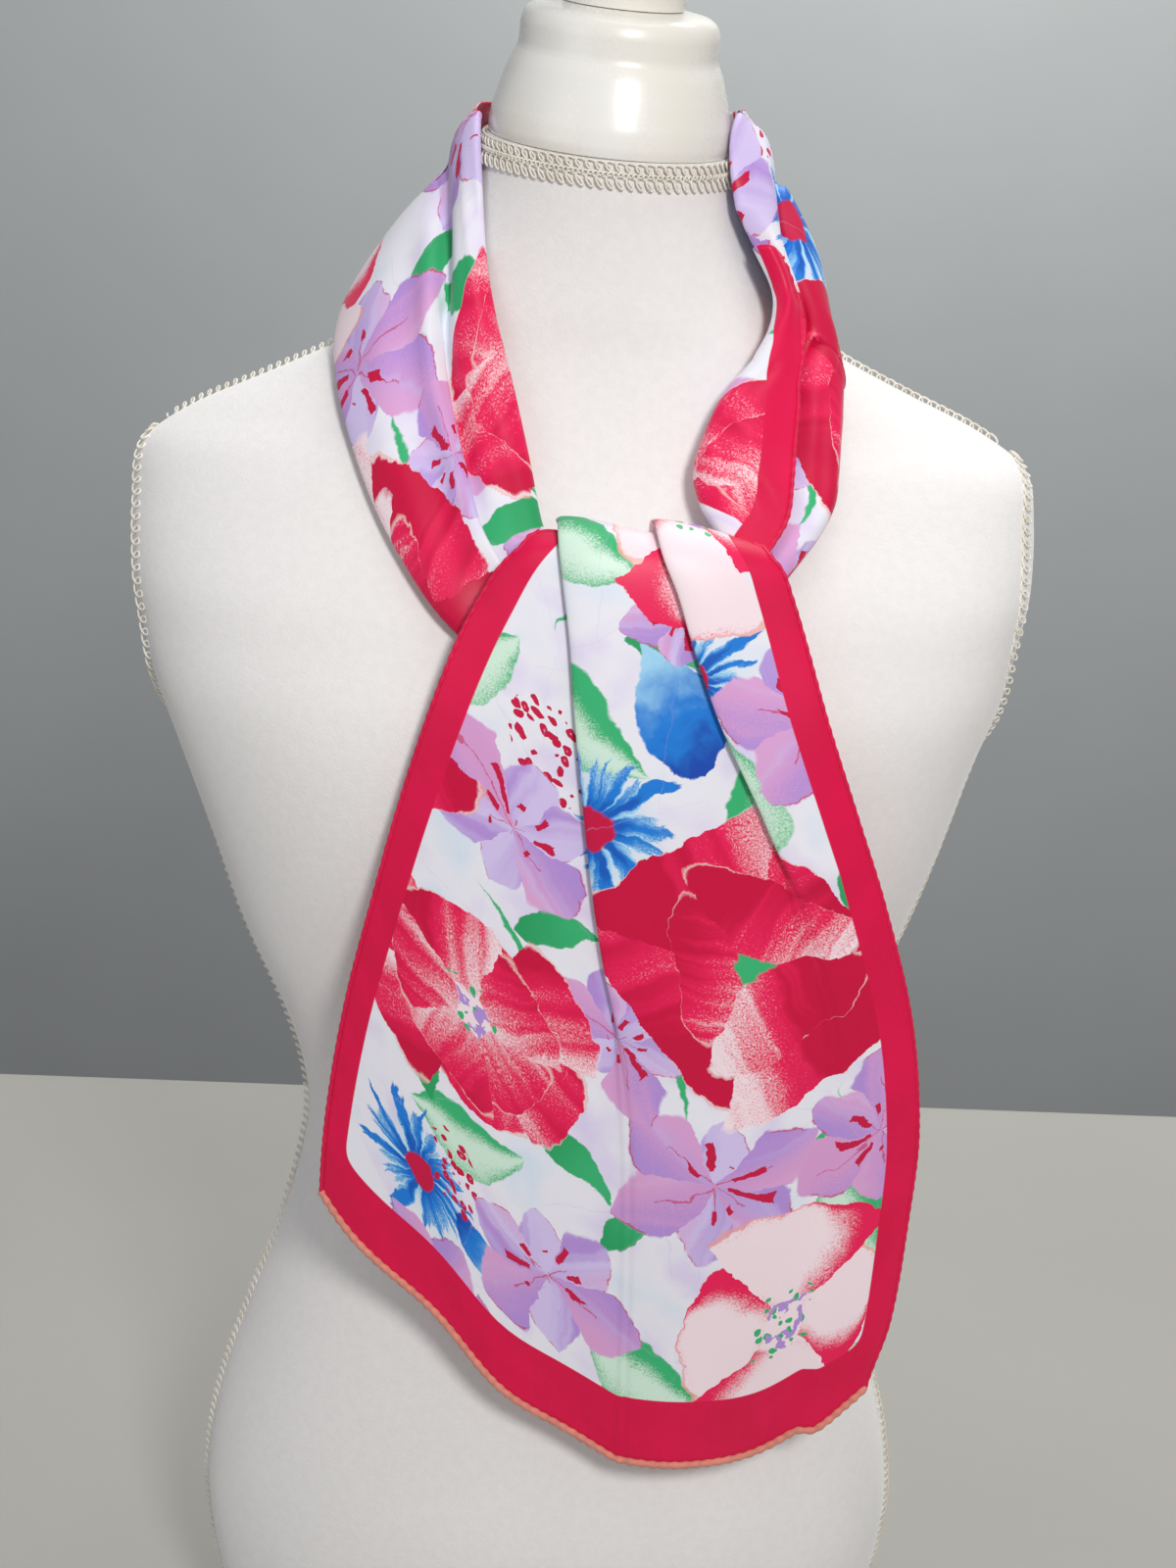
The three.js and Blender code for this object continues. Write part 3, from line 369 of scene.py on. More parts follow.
# The panel's side edges by height, and how far each hangs back from the middle.
Edge = namedtuple("Edge", "z left right back_left back_right")
PANEL_EDGES = [
    Edge(194, -98, 137, 13, 10),
    Edge(226, -98, 137, 13, 10),
    Edge(260, -98, 145, 13, 11),
    Edge(310, -98, 149, 13, 12),
    Edge(350, -95, 150, 12, 12),
    Edge(400, -87, 143, 10, 11),
    Edge(450, -75, 128, 7, 9),
    Edge(485, -66, 115, 5, 7),
    Edge(525, -54, 100, 4, 5),
    Edge(555, -43, 90, 6, 6),
    Edge(575, -33, 83, 7, 6),
    Edge(587, -25, 78, 5, 5),
    Edge(598, -14, 68, 0, 2),
]

# Its two pleats by height: the x of the fold, how far it laps over the facet on its -X side, and
# the height of one layer where it has opened, as a share of a full fold's.
Pleat = namedtuple("Pleat", "z pleat_a lap_a open_a pleat_b lap_b open_b")
PANEL_PLEATS = [
    Pleat(194, 33, -10, 0.6, 112, -8, 0.1),
    Pleat(260, 32, -10, 0.6, 112, -8, 0.1),
    Pleat(310, 31, -9, 0.6, 112, -8, 0.1),
    Pleat(350, 29, -6, 0.6, 112, -8, 0.15),
    Pleat(400, 22, -2, 0.6, 110, -8, 0.3),
    Pleat(450, 13, 5, 0.6, 93, -5, 0.5),
    Pleat(485, 8, 9, 0.6, 79, 2, 0.5),
    Pleat(525, 3, 10, 0.6, 59, 7, 0.5),
    Pleat(555, 0, 9, 0.6, 47, 8, 0.5),
    Pleat(575, -3, 8, 0.5, 40, 8, 0.5),
    Pleat(587, -5, 6, 0.4, 34, 7, 0.4),
    Pleat(598, -7, 4, 0.3, 29, 6, 0.3),
]

# The middle of the panel from behind the knot over its top and down.
Fall = namedtuple("Fall", "drop y z fold")
PANEL_FALL = [
    Fall(-34, -90, 565, 0.4),
    Fall(-22, -89, 576, 0.6),
    Fall(-10, -93, 587.5, 1.2),
    Fall(0, -102, 594, 2.6),
    Fall(11, -111, 590, 3),
    Fall(22, -115, 580, 3),
    Fall(50, -118, 552, 3),
    Fall(85, -120, 517, 3),
    Fall(130, -121, 472, 3),
    Fall(200, -121, 402, 3),
    Fall(280, -121, 322, 3),
    Fall(408, -119, 194, 3),
]
PANEL_LENGTH = PANEL_FALL[-1].drop

# How much of the full length the panel has at each share of its width.
Reach = namedtuple("Reach", "across reach")
PANEL_REACH = [
    Reach(0, 0.712),
    Reach(0.05, 0.752),
    Reach(0.11, 0.785),
    Reach(0.18, 0.817),
    Reach(0.25, 0.848),
    Reach(0.295, 0.882),
    Reach(0.33, 0.918),
    Reach(0.37, 0.936),
    Reach(0.415, 0.944),
    Reach(0.46, 0.962),
    Reach(0.51, 0.984),
    Reach(0.57, 0.997),
    Reach(0.66, 1),
    Reach(0.76, 1),
    Reach(0.86, 0.988),
    Reach(0.94, 0.956),
    Reach(1, 0.917),
]

# The drop over which the panel comes to those lengths.
SHORTENS_OVER = 60

# The pleats' shares of the width, the first one's place among the controls of a section, the number
# of controls, and the points for each.
PLEAT_A_ACROSS = 0.557
PLEAT_B_ACROSS = 0.92
PLEAT_A_PLACE = 10
PANEL_CONTROLS = 26
PANEL_FINENESS = 5

# The rows behind the knot and in front of it, and the power by which these close up towards it.
PANEL_ROWS_BEHIND = 10
PANEL_ROWS_FRONT = 120
PANEL_CLOSER = 1.25

# How much thicker than the side hems the panel's end hem is.
END_HEM_THICK = 1.75

# How the panel gathers behind the knot, in mm for each mm of drop.
Gather = namedtuple("Gather", "left pleat_a right lap")
PANEL_GATHER = Gather(0.2, 0.4, 0.24, 0.5)

# Soft troughs in the panel, each from one x and z to another, with its half width and depth. A
# ridge has a depth below 0.
Trough = namedtuple("Trough", "x_from z_from x_to z_to wide deep")
PANEL_TROUGHS = [
    Trough(-14, 590, -44, 520, 9, 1.1),
    Trough(-10, 592, -22, 540, 6, 1.0),
    Trough(-30, 560, -70, 400, 16, -1.6),
    Trough(8, 594, 16, 548, 5, 0.9),
    Trough(18, 596, 30, 552, 5, -0.9),
    Trough(22, 592, 34, 500, 9, 1.2),
    Trough(40, 590, 58, 545, 5, 1.0),
    Trough(52, 588, 72, 540, 7, -1.2),
    Trough(62, 582, 84, 520, 8, 1.3),
    Trough(46, 470, 52, 330, 22, 1.6),
    Trough(80, 420, 74, 260, 20, -1.8),
    Trough(112, 400, 118, 270, 14, 1.6),
    Trough(40, 330, 44, 205, 12, 1.8),
    Trough(-30, 380, -44, 280, 18, 1.7),
    Trough(-72, 360, -78, 300, 10, 1.4),
]

# Ripples of the lower edge: where each crest is across the panel, its half width and its height.
Ripple = namedtuple("Ripple", "x wide high")
LOWER_RIPPLES = [
    Ripple(-82, 9, 2.0),
    Ripple(-64, 8, -1.8),
    Ripple(-42, 11, -3.0),
    Ripple(-14, 10, 4.4),
    Ripple(12, 9, -3.4),
    Ripple(30, 8, 1.6),
    Ripple(56, 16, 2.2),
    Ripple(92, 14, -2.4),
]
# How far up from the lower edge the ripples reach.
RIPPLE_REACH = 70

# The tail's edges by height and the height of its folds, and how far out it hangs below the bust
# and up to the knot.
TailRow = namedtuple("TailRow", "z left right wave")
TAIL_ROWS = [
    TailRow(296, -18, 100, 1.2),
    TailRow(340, -16, 96, 1.3),
    TailRow(400, -12, 90, 1.4),
    TailRow(450, -8, 84, 1.2),
    TailRow(500, -2, 74, 1),
    TailRow(540, 6, 62, 0.6),
    TailRow(561, 8, 54, 0.3),
]
TAIL_PLUMB_Y = -113.8
TAIL_KNOT_Y = -88.4
TAIL_BUST_Z = 496
TAIL_FOLDS = 2.5
TAIL_HEM_THICK = 0.9

# The gathered layers inside the knot: their middle, half sizes and grooves.
KNOT_MIDDLE = Vector((27, -102.2, 575))
KNOT_HALF = Vector((36, 12, 14.5))
KNOT_GATHERS = 7
KNOT_GROOVE = 0.05

# The cloth as it was printed, in metres: its width, the distance that is given where no edge is
# near, the place of the panel's first pleat across it, and how much of the border is turned under
# at the far edge past the twist.
FAR_FROM_EDGE = 1.0
PANEL_PLACE = 0.131
FAR_TURNED_UNDER = 0.011

# How far apart the print's repeats are, in mm, and which of them the cloth holds. Each tile of the
# print, TILE metres wide, is a material of its own, with only the flowers that reach it: petals
# run a little past a flower's size, and their edges wander.
REPEAT = 360
REPEATS = range(-1, 5)
TILE = 0.09
WANDER = 8
PETAL_REACH = 1.05


# ----------------------------------------------------------------------------------------------
# Curves and tables
# ----------------------------------------------------------------------------------------------


def lerp(a, b, t):
    return a + (b - a) * t


def smoothstep(value, low, high):
    """0 at low and 1 at high, with no jump in its slope; high may lie below low."""
    t = min(max((value - low) / (high - low), 0), 1)
    return t * t * (3 - 2 * t)


def read_table(rows, at):
    """A row of the table at a place between its rows, by its first column."""
    i = 0
    while i < len(rows) - 2 and at > rows[i + 1][0]:
        i += 1
    before, start = rows[max(i - 1, 0)], rows[i]
    end, after = rows[i + 1], rows[min(i + 2, len(rows) - 1)]
    span = end[0] - start[0]
    t = min(max((at - start[0]) / span, 0), 1)
    values = [at]
    for a, b, c, d in zip(before[1:], start[1:], end[1:], after[1:]):
        slope_start = (c - a) / (end[0] - before[0]) * span
        slope_end = (d - b) / (after[0] - start[0]) * span
        values.append(
            b * (2 * t**3 - 3 * t**2 + 1)
            + c * (3 * t**2 - 2 * t**3)
            + slope_start * (t**3 - 2 * t**2 + t)
            + slope_end * (t**3 - t**2)
        )
    return type(start)(*values)


def rounded_curve(controls, places):
    """Points of the uniform cubic B-spline of some control points."""
    last = len(controls) - 1

    def at(i):
        if i < 0:
            return controls[0] * 2 - controls[1]
        if i > last:
            return controls[last] * 2 - controls[last - 1]
        return controls[i]

    points = []
    for place in places:
        i = min(int(place), last - 1)
        t = place - i
        weights = (
            (1 - t) ** 3 / 6,
            (3 * t**3 - 6 * t**2 + 4) / 6,
            (-3 * t**3 + 3 * t**2 + 3 * t + 1) / 6,
            t**3 / 6,
        )
        point = controls[0] * 0
        for n, weight in enumerate(weights):
            point += at(i - 1 + n) * weight
        points.append(point)
    return points


def even_curve(points, t):
    """A point of the centripetal curve through some points, at a share of their number."""
    last = len(points) - 1
    i = min(int(last * t), last - 1)
    t = last * t - i
    a = points[i - 1] if i > 0 else points[0] * 2 - points[1]
    b, c = points[i], points[i + 1]
    d = points[i + 2] if i + 2 <= last else points[last] * 2 - points[last - 1]
    one, two, three = [math.sqrt((q - p).length) for p, q in ((a, b), (b, c), (c, d))]
    start = ((b - a) / one - (c - a) / (one + two) + (c - b) / two) * two
    end = ((c - b) / two - (d - b) / (two + three) + (d - c) / three) * two
    squared, cubed = 3 * (c - b) - 2 * start - end, 2 * (b - c) + start + end
    return b + start * t + squared * t**2 + cubed * t**3


# ----------------------------------------------------------------------------------------------
# The form's surface
# ----------------------------------------------------------------------------------------------


def body_field(x, y, z):
    """Below 0 inside the torso, 0 on its surface and above 0 outside it."""
    ring = read_table(TORSO_RINGS, z)
    depth = ring.front if y < ring.mid_y else ring.back
    across = abs(x - ring.mid_x) / ring.half
    along = abs(y - ring.mid_y) / depth
    return (across**ring.square + along**ring.square) ** (1 / ring.square) - 1


def body_side(point):
    """The nearest way out of the torso at a point, and how far outside it the point is."""
    x, y, z = point
    d = 0.5
    slope = Vector(
        (
            body_field(x + d, y, z) - body_field(x - d, y, z),
            body_field(x, y + d, z) - body_field(x, y - d, z),
            body_field(x, y, z + d) - body_field(x, y, z - d),
        )
    ) / (2 * d)
    steep = slope.length
    return slope / steep, body_field(x, y, z) / steep


def settle(point, lift, cling=0, steps=6):
    """Moves a point out until it is clear of the torso by lift, or in to it as well with cling."""
    point = point.copy()
    for _ in range(steps):
        out, off = body_side(point)
        short = lift - off
        if short <= 0 and cling == 0:
            break
        point += out * (short if short > 0 else short * cling)
    return point


def signed_power(value, power):
    return math.copysign(abs(value) ** power, value)


def torso_point(angle, level):
    ring = read_table(TORSO_RINGS, level)
    depth = ring.front if math.sin(angle) < 0 else ring.back
    x = signed_power(math.cos(angle), 2 / ring.square) * ring.half
    y = signed_power(math.sin(angle), 2 / ring.square) * depth
    fall = y * math.tan(NECK_FALLS_FRONT) - x * math.tan(NECK_FALLS_SIDE)
    tipped = smoothstep(level, NECK_BENDS_FROM, NECK_TOP.z)
    return Vector((ring.mid_x + x, ring.mid_y + y, level + tipped * fall))


# ----------------------------------------------------------------------------------------------
# Making pieces
# ----------------------------------------------------------------------------------------------


def add_piece(name, mesh, material, replaces=()):
    """A finished object of the part, on its body, in place of the parts that it replaces."""
    piece = bpy.data.objects.new(name, mesh)
    bpy.context.scene.collection.objects.link(piece)
    if material:
        piece.data.materials.append(material)
    for face in mesh.polygons:
        face.use_smooth = True
    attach(piece, BODY)
    if replaces:
        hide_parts(*replaces)
    return piece


def mesh_from(bm, name):
    mesh = bpy.data.meshes.new(name)
    bm.to_mesh(mesh)
    bm.free()
    return mesh


def cloth_piece(name, grid, marks, scarf, node):
    """Printed cloth through a grid of points in mm. marks gives each point's place on the print and
    its distances from the scarf's side and end, in metres."""
    rows, columns = len(grid), len(grid[0])
    bm = bmesh.new()
    bmesh.ops.create_grid(bm, x_segments=columns - 1, y_segments=rows - 1, size=1)
    print_layer = bm.loops.layers.uv.new("print")
    edge_layer = bm.loops.layers.uv.new("edges")
    marked = {}
    for vert in bm.verts:
        c = round((vert.co.x + 1) / 2 * (columns - 1))
        r = round((vert.co.y + 1) / 2 * (rows - 1))
        marked[vert.index] = marks[r][c]
        vert.co = grid[r][c] * MM
    for face in bm.faces:
        for loop in face.loops:
            loop[print_layer].uv, loop[edge_layer].uv = marked[loop.vert.index]
    piece = add_piece(name, mesh_from(bm, name), None, [node])
    print_on(piece, scarf)
    wall = piece.modifiers.new("cloth", "SOLIDIFY")
    wall.thickness = scarf.cloth
    wall.offset = 0
    wall.use_even_offset = False
    return piece


def cord_mesh(name, points, thick, looped, radii=None, sides=1):
    """A round cord along points in mm, as a mesh."""
    curve = bpy.data.curves.new(name, "CURVE")
    curve.dimensions = "3D"
    curve.bevel_depth = thick / 2
    curve.bevel_resolution = sides
    curve.use_fill_caps = not looped
    spline = curve.splines.new("POLY")
    spline.points.add(len(points) - 1)
    spline.use_cyclic_u = looped
    for i, point in enumerate(points):
        spline.points[i].co = (*(point * MM), 1)
        spline.points[i].radius = radii[i] if radii else 1
    carrier = bpy.data.objects.new(name, curve)
    bpy.context.scene.collection.objects.link(carrier)
    mesh = bpy.data.meshes.new_from_object(carrier)
    bpy.data.objects.remove(carrier)
    bpy.data.curves.remove(curve)
    bm = bmesh.new()
    bm.from_mesh(mesh)
    bmesh.ops.remove_doubles(bm, verts=bm.verts, dist=1e-6)
    bmesh.ops.recalc_face_normals(bm, faces=bm.faces)
    bm.to_mesh(mesh)
    bm.free()
    return mesh


def evenly(points, step, looped=False):
    """Points at even steps along a path."""
    path = points + [points[0]] if looped else points
    lengths = [0]
    for a, b in zip(path, path[1:]):
        lengths.append(lengths[-1] + (b - a).length)
    count = max(round(lengths[-1] / step), 2)
    spaced, i = [], 0
    for n in range(count if looped else count + 1):
        at = lengths[-1] * n / count
        while i < len(path) - 2 and lengths[i + 1] < at:
            i += 1
        spaced.append(path[i].lerp(path[i + 1], (at - lengths[i]) / (lengths[i + 1] - lengths[i])))
    return spaced


# ----------------------------------------------------------------------------------------------
# Shader nodes
# ----------------------------------------------------------------------------------------------


class Wire:
    """A number on its way between nodes, joined with others by ordinary operators."""

    def __init__(self, paint, socket):
        self.paint = paint
        self.socket = socket

    def __add__(self, other):
        return self.paint.maths("ADD", self, other)

    def __sub__(self, other):
        return self.paint.maths("SUBTRACT", self, other)

    def __rsub__(self, other):
        return self.paint.maths("SUBTRACT", other, self)

    def __mul__(self, other):
        return self.paint.maths("MULTIPLY", self, other)

    def __truediv__(self, other):
        return self.paint.maths("DIVIDE", self, other)

    def __rtruediv__(self, other):
        return self.paint.maths("DIVIDE", other, self)

    def __pow__(self, other):
        return self.paint.maths("POWER", self, other)

    def __abs__(self):
        return self.paint.maths("ABSOLUTE", self)

    def __lt__(self, other):
        return self.paint.maths("LESS_THAN", self, other)

    def __gt__(self, other):
        return self.paint.maths("GREATER_THAN", self, other)

    __radd__ = __add__
    __rmul__ = __mul__

    def ramp(self, low, high):
        """0 below low and 1 above high, smooth between them."""
        return self.paint.node(
            "ShaderNodeMapRange",
            {"Value": self, "From Min": low, "From Max": high},
            interpolation_type="SMOOTHSTEP",
            clamp=False,
        )


class Paint:
    """Adds nodes to one node tree."""

    def __init__(self, tree):
        self.tree = tree

    def feed(self, socket, value):
        if isinstance(value, Wire):
            self.tree.links.new(value.socket, socket)
        elif hasattr(value, "__len__") and socket.type == "RGBA":
            socket.default_value = (*value[:3], 1)
        else:
            socket.default_value = value

    def node(self, kind, inputs, output=0, **settings):
        made = self.tree.nodes.new(kind)
        for name, value in settings.items():
            setattr(made, name, value)
        for name, value in inputs.items():
            self.feed(made.inputs[name], value)
        return Wire(self, made.outputs[output])

    def maths(self, operation, *values):
        return self.node("ShaderNodeMath", dict(enumerate(values)), operation=operation)

    def mix(self, factor, a, b):
        """A colour between a and b."""
        inputs = {0: factor, 6: a, 7: b}
        return self.node("ShaderNodeMix", inputs, output=2, data_type="RGBA")

    def split(self, vector):
        made = self.tree.nodes.new("ShaderNodeSeparateXYZ")
        self.feed(made.inputs[0], vector)
        return [Wire(self, made.outputs[i]) for i in (0, 1)]

    def noise(self, vector, scale, detail=2, output=0):
        inputs = {"Vector": vector, "Scale": scale, "Detail": detail}
        return self.node("ShaderNodeTexNoise", inputs, output=output)


class Finish(Paint):
    """The nodes of one material."""

    def __init__(self, name, **constants):
        self.material = bpy.data.materials.new(name)
        self.material.use_nodes = True
        super().__init__(self.material.node_tree)
        self.shader = self.tree.nodes["Principled BSDF"]
        for socket, value in constants.items():
            socket = socket.replace("_", " ").title().replace("Ior", "IOR")
            self.shader.inputs[socket].default_value = value

    def finish(self, socket, value):
        self.feed(self.shader.inputs[socket], value)

    def bump(self, height, strength, distance):
        inputs = {"Height": height, "Strength": strength, "Distance": distance}
        self.finish("Normal", self.node("ShaderNodeBump", inputs))


# ----------------------------------------------------------------------------------------------
# The printed cloth
# ----------------------------------------------------------------------------------------------

CRIMSON_DEEP = linear("cf0640")
CRIMSON = linear("ef1a58")
PINK = linear("f08ba6")
BLUSH = linear("fae6ec")
CORAL = linear("f4a79b")
LILAC = linear("b893dc")
LILAC_PALE = linear("d9c8f2")
LILAC_PINK = linear("e3a3d3")
STAMEN = linear("cc1245")
LEAF = linear("3ab676")
LEAF_DARK = linear("2aa263")
LEAF_PALE = linear("d6f0de")
BLUE = linear("1b7edb")
BLUE_DEEP = linear("1749b0")
BLUE_PALE = linear("a6daf6")

# The flowers and leaves of one repeat: each one's middle on the print plane, its size, all in mm,
# how far it is turned in degrees, and its own number for chance.
Motif = namedtuple("Motif", "kind u v size turn chance")
MOTIFS = [
    Motif("stem", 118, 26, 26, 70, 1),
    Motif("stem", 152, 190, 28, 110, 2),
    Motif("stem", 214, 150, 24, 60, 3),
    Motif("stem", 84, 226, 24, 130, 4),
    Motif("leaf", 52, 110, 32, 10, 5),
    Motif("leaf", 136, 40, 32, -32, 6),
    Motif("leaf", 228, 94, 34, -62, 7),
    Motif("leaf", 16, 226, 31, -70, 8),
    Motif("leaf", 254, 196, 29, 96, 9),
    Motif("leaf", 130, 330, 36, -48, 10),
    Motif("leaf", 206, 298, 34, 82, 11),
    Motif("leaf", 62, 336, 32, 30, 12),
    Motif("leaf", 250, 14, 31, 120, 13),
    Motif("dark_leaf", 106, 134, 21, -28, 14),
    Motif("dark_leaf", 128, 110, 18, 32, 15),
    Motif("dark_leaf", 146, 258, 22, 78, 16),
    Motif("dark_leaf", 102, 238, 20, 12, 17),
    Motif("dark_leaf", 28, 136, 20, 84, 18),
    Motif("dark_leaf", 242, 262, 22, 60, 19),
    Motif("dark_leaf", 174, 2, 21, -14, 20),
    Motif("cornflower", 134, 290, 33, 20, 21),
    Motif("cornflower", 22, 74, 30, 200, 22),
    Motif("cornflower", 200, 348, 25, 120, 23),
    Motif("blue_leaf", 172, 338, 29, 112, 24),
    Motif("blue_leaf", 54, 60, 18, -30, 25),
    Motif("berries", 42, 88, 15, 0, 26),
    Motif("berries", 94, 312, 18, 0, 27),
    Motif("lily", 92, 72, 51, 100, 28),
    Motif("lily", 166, 134, 51, 20, 29),
    Motif("lily", 80, 274, 50, 75, 30),
    Motif("lily", 130, 198, 40, -20, 31),
    Motif("lily", 238, 144, 42, 150, 32),
    Motif("lily", 30, 16, 44, 10, 33),
    Motif("lily", 246, 330, 46, 50, 34),
    Motif("lily", 176, 376, 31, 200, 35),
    Motif("tulip", 198, 62, 56, 172, 36),
    Motif("peony", 60, 176, 63, 30, 37),
    Motif("poppy", 190, 230, 59, -62, 38),
    Motif("peony", 12, 302, 54, -50, 39),
]

# How the petals of a flower are made: their number, how wide each is, how sharply it ends, how
# uneven they are, and how deep their colour is near the middle and how much deeper at the tip.
Petals = namedtuple("Petals", "count wide sharp uneven near tip")
PEONY_BACK = Petals(6, 1.15, 0.4, 0.4, 0.35, 0.5)
PEONY_FRONT = Petals(5, 1.3, 0.4, 0.35, 0.3, 0.55)
POPPY_BACK = Petals(4, 1.75, 0.34, 0.3, 0.8, 0.35)
POPPY_FRONT = Petals(3, 2.1, 0.32, 0.4, 0.6, 0.45)
TULIP = Petals(4, 1.6, 0.42, 0.3, 0, 0)
LILY = Petals(6, 1.12, 0.8, 0.45, 0, 0)
STAMENS = Petals(9, 0.1, 0.5, 0.3, 0, 0)


class Stamp(Paint):
    """One kind of flower, as a group of nodes that paints it over the colour it is given."""

    NUMBERS = (
        "U", "V", "Middle U", "Middle V", "Cosine", "Sine", "Chance", "Spray", "Brush", "Dots",
    )

    def __init__(self, kind):
        super().__init__(bpy.data.node_groups.new(kind, "ShaderNodeTree"))
        sockets = self.tree.interface
        sockets.new_socket("Ground", in_out="INPUT", socket_type="NodeSocketColor")
        for name in self.NUMBERS:
            sockets.new_socket(name, in_out="INPUT", socket_type="NodeSocketFloat")
        sockets.new_socket("Colour", in_out="OUTPUT", socket_type="NodeSocketColor")
        given = self.tree.nodes.new("NodeGroupInput").outputs
        self.colour = Wire(self, given["Ground"])
        u, v, middle_u, middle_v, cosine, sine, self.chance, spray, self.brush, self.dots = [
            Wire(self, given[name]) for name in self.NUMBERS
        ]
        self.x = (u - middle_u) * cosine + (v - middle_v) * sine
        self.y = (v - middle_v) * cosine - (u - middle_u) * sine
        self.grain = spray - 0.5
        getattr(self, kind)()
        self.feed(self.tree.nodes.new("NodeGroupOutput").inputs[0], self.colour)

    def lay(self, mask, colour):
        self.colour = self.mix(mask, self.colour, colour)

    def petals(self, kind, size=1, chance=0):
        """The nearest petal at a place: how far along it the place is, how far to its side, the
        petal's half width there and its own chance number."""
        x, y = self.x, self.y
        reach = (x * x + y * y) ** 0.5
        turn = self.maths("ARCTAN2", y, x) * (kind.count / (2 * math.pi))
        which = self.maths("ROUND", turn)
        seed = self.maths("FLOORED_MODULO", which, kind.count) + (self.chance + chance) * 13.7
        own = self.node("ShaderNodeTexWhiteNoise", {"W": seed}, noise_dimensions="1D")
        angle = (turn - which) * (2 * math.pi / kind.count)
        reach = reach / ((own * kind.uneven + (1 - kind.uneven)) * size)
        along = reach * self.maths("COSINE", angle)
        side = reach * self.maths("SINE", angle)
        half = along**0.8 * (1.04 - along) ** kind.sharp * kind.wide
        return along, side, half, own

    def streaks(self, along, side, own):
        """Brush strokes that run along a petal."""
        inputs = {"W": side * 4.5 + along * 0.8 + own * 31, "Scale": 1, "Detail": 2}
        return self.node("ShaderNodeTexNoise", inputs, noise_dimensions="1D") - 0.5

    def red_petals(self, kind, size=1, chance=0):
        """A round of crimson petals, pale where the brush left the ground bare."""
        along, side, half, own = self.petals(kind, size, chance)
        room = half - abs(side) + (self.brush - 0.5) * 0.22
        bend = side * (own - 0.4) * 2.4
        stroke = self.streaks(along, side, own) * 0.8
        tone = along * kind.tip + kind.near + bend + stroke + self.grain * 1.1
        colour = self.mix(tone.ramp(0.1, 0.75), BLUSH, CRIMSON)
        colour = self.mix((tone - self.grain).ramp(0.75, 1.2), colour, CRIMSON_DEEP)
        beside = along < 1.05
        self.lay(room.ramp(-0.07, -0.045) * (side > 0) * beside * 0.6, CORAL)
        self.lay(room.ramp(-0.035, -0.015) * beside * 0.45, BLUSH)
        self.lay(room.ramp(-0.01, 0.045) * beside, colour)
        return along

    def heart(self, along):
        self.lay((0.2 - along + self.brush * 0.12).ramp(0.03, 0.07), BLUSH)
        self.lay((self.dots < 0.33) * (along < 0.3), LEAF)
        self.lay((self.brush > 0.56) * (along < 0.22), LILAC)

    def peony(self):
        self.red_petals(PEONY_BACK)
        self.heart(self.red_petals(PEONY_FRONT, 0.74, 0.5))

    def poppy(self):
        self.red_petals(POPPY_BACK)
        along = self.red_petals(POPPY_FRONT, 0.68, 0.35)
        self.lay((0.14 - along + self.brush * 0.1).ramp(0.03, 0.07), LEAF)

    def tulip(self):
        """A blossom that is deep at its petals' edges and bare inside them."""
        along, side, half, _ = self.petals(TULIP)
        room = half - abs(side) + (self.brush - 0.5) * 0.15
        edge = room * 1.7 + side * 0.9 - self.grain * 0.9 + along * 0.1
        beside = along < 1.05
        self.lay(room.ramp(-0.06, -0.04) * (side > 0) * beside * 0.75, CORAL)
        self.lay(room.ramp(0, 0.02) * beside, self.mix(edge.ramp(0.75, 0.1), BLUSH, CRIMSON))
        self.heart(along)

    def lily(self):
        along, side, half, own = self.petals(LILY)
        room = half - abs(side)
        stroke = self.streaks(along, side, own)
        tone = own * 0.7 + stroke * 0.7 + side * 0.9
        tint = self.mix(tone.ramp(0, 0.6), LILAC_PALE, LILAC)
        blush = (own - side + stroke * 0.6 + self.grain * 0.7).ramp(0.35, 1.0)
        self.lay(room.ramp(-0.015, 0.035), self.mix(blush * 0.85, tint, LILAC_PINK))
        line = (abs(room - 0.02) < 0.011) * (side * (own - 0.5) > 0) * (stroke > -0.04)
        vein = (abs(side - stroke * 0.2) < 0.009) * (along < own * 0.8)
        self.lay((line + vein) * 0.65, STAMEN)
        thread, drift, slim, own = self.petals(STAMENS)
        self.lay((abs(drift) < slim) * (abs(thread - 0.32) < own * 0.2) * (self.x > -0.15), STAMEN)

    def cornflower(self):
        x, y = self.x, self.y
        reach = (x * x + y * y) ** 0.5
        ray = self.maths("ARCTAN2", y, x) * 3.4 + reach * 0.5 + self.chance * 17.3
        inputs = {"W": ray, "Scale": 1, "Detail": 3}
        burst = self.node("ShaderNodeTexNoise", inputs, noise_dimensions="1D")
        room = burst * 1.9 - reach - 0.12
        pale = self.mix((burst + self.grain * 0.4).ramp(0.35, 0.65), BLUE_PALE, BLUE)
        self.lay((1.05 - reach).ramp(0, 0.9) * 0.55, BLUE_PALE)
        self.lay(room.ramp(0, 0.08), self.mix(room.ramp(0.1, 0.4), pale, BLUE))
        self.lay((room - reach * 0.5).ramp(0.15, 0.45) * 0.7, BLUE_DEEP)
        self.lay((0.27 - reach + self.brush * 0.2).ramp(0.08, 0.12), STAMEN)

    def berries(self):
        near = (self.x * self.x + self.y * self.y * 0.5 + self.brush * 0.6) < 1.2
        self.lay((self.dots < 0.42) * near, STAMEN)
        self.lay((self.dots < 0.1) * near, PINK)

    def leaf_shape(self, slim, bend):
        """How far a place is to a leaf's side, the leaf's half width there and its mask."""
        x = self.x
        side = self.y - x * x * bend
        half = (1 - x * x) * (1.2 - x * 0.45) * slim
        return side, half, (half - abs(side)).ramp(0, 0.04) * (abs(x) < 1)

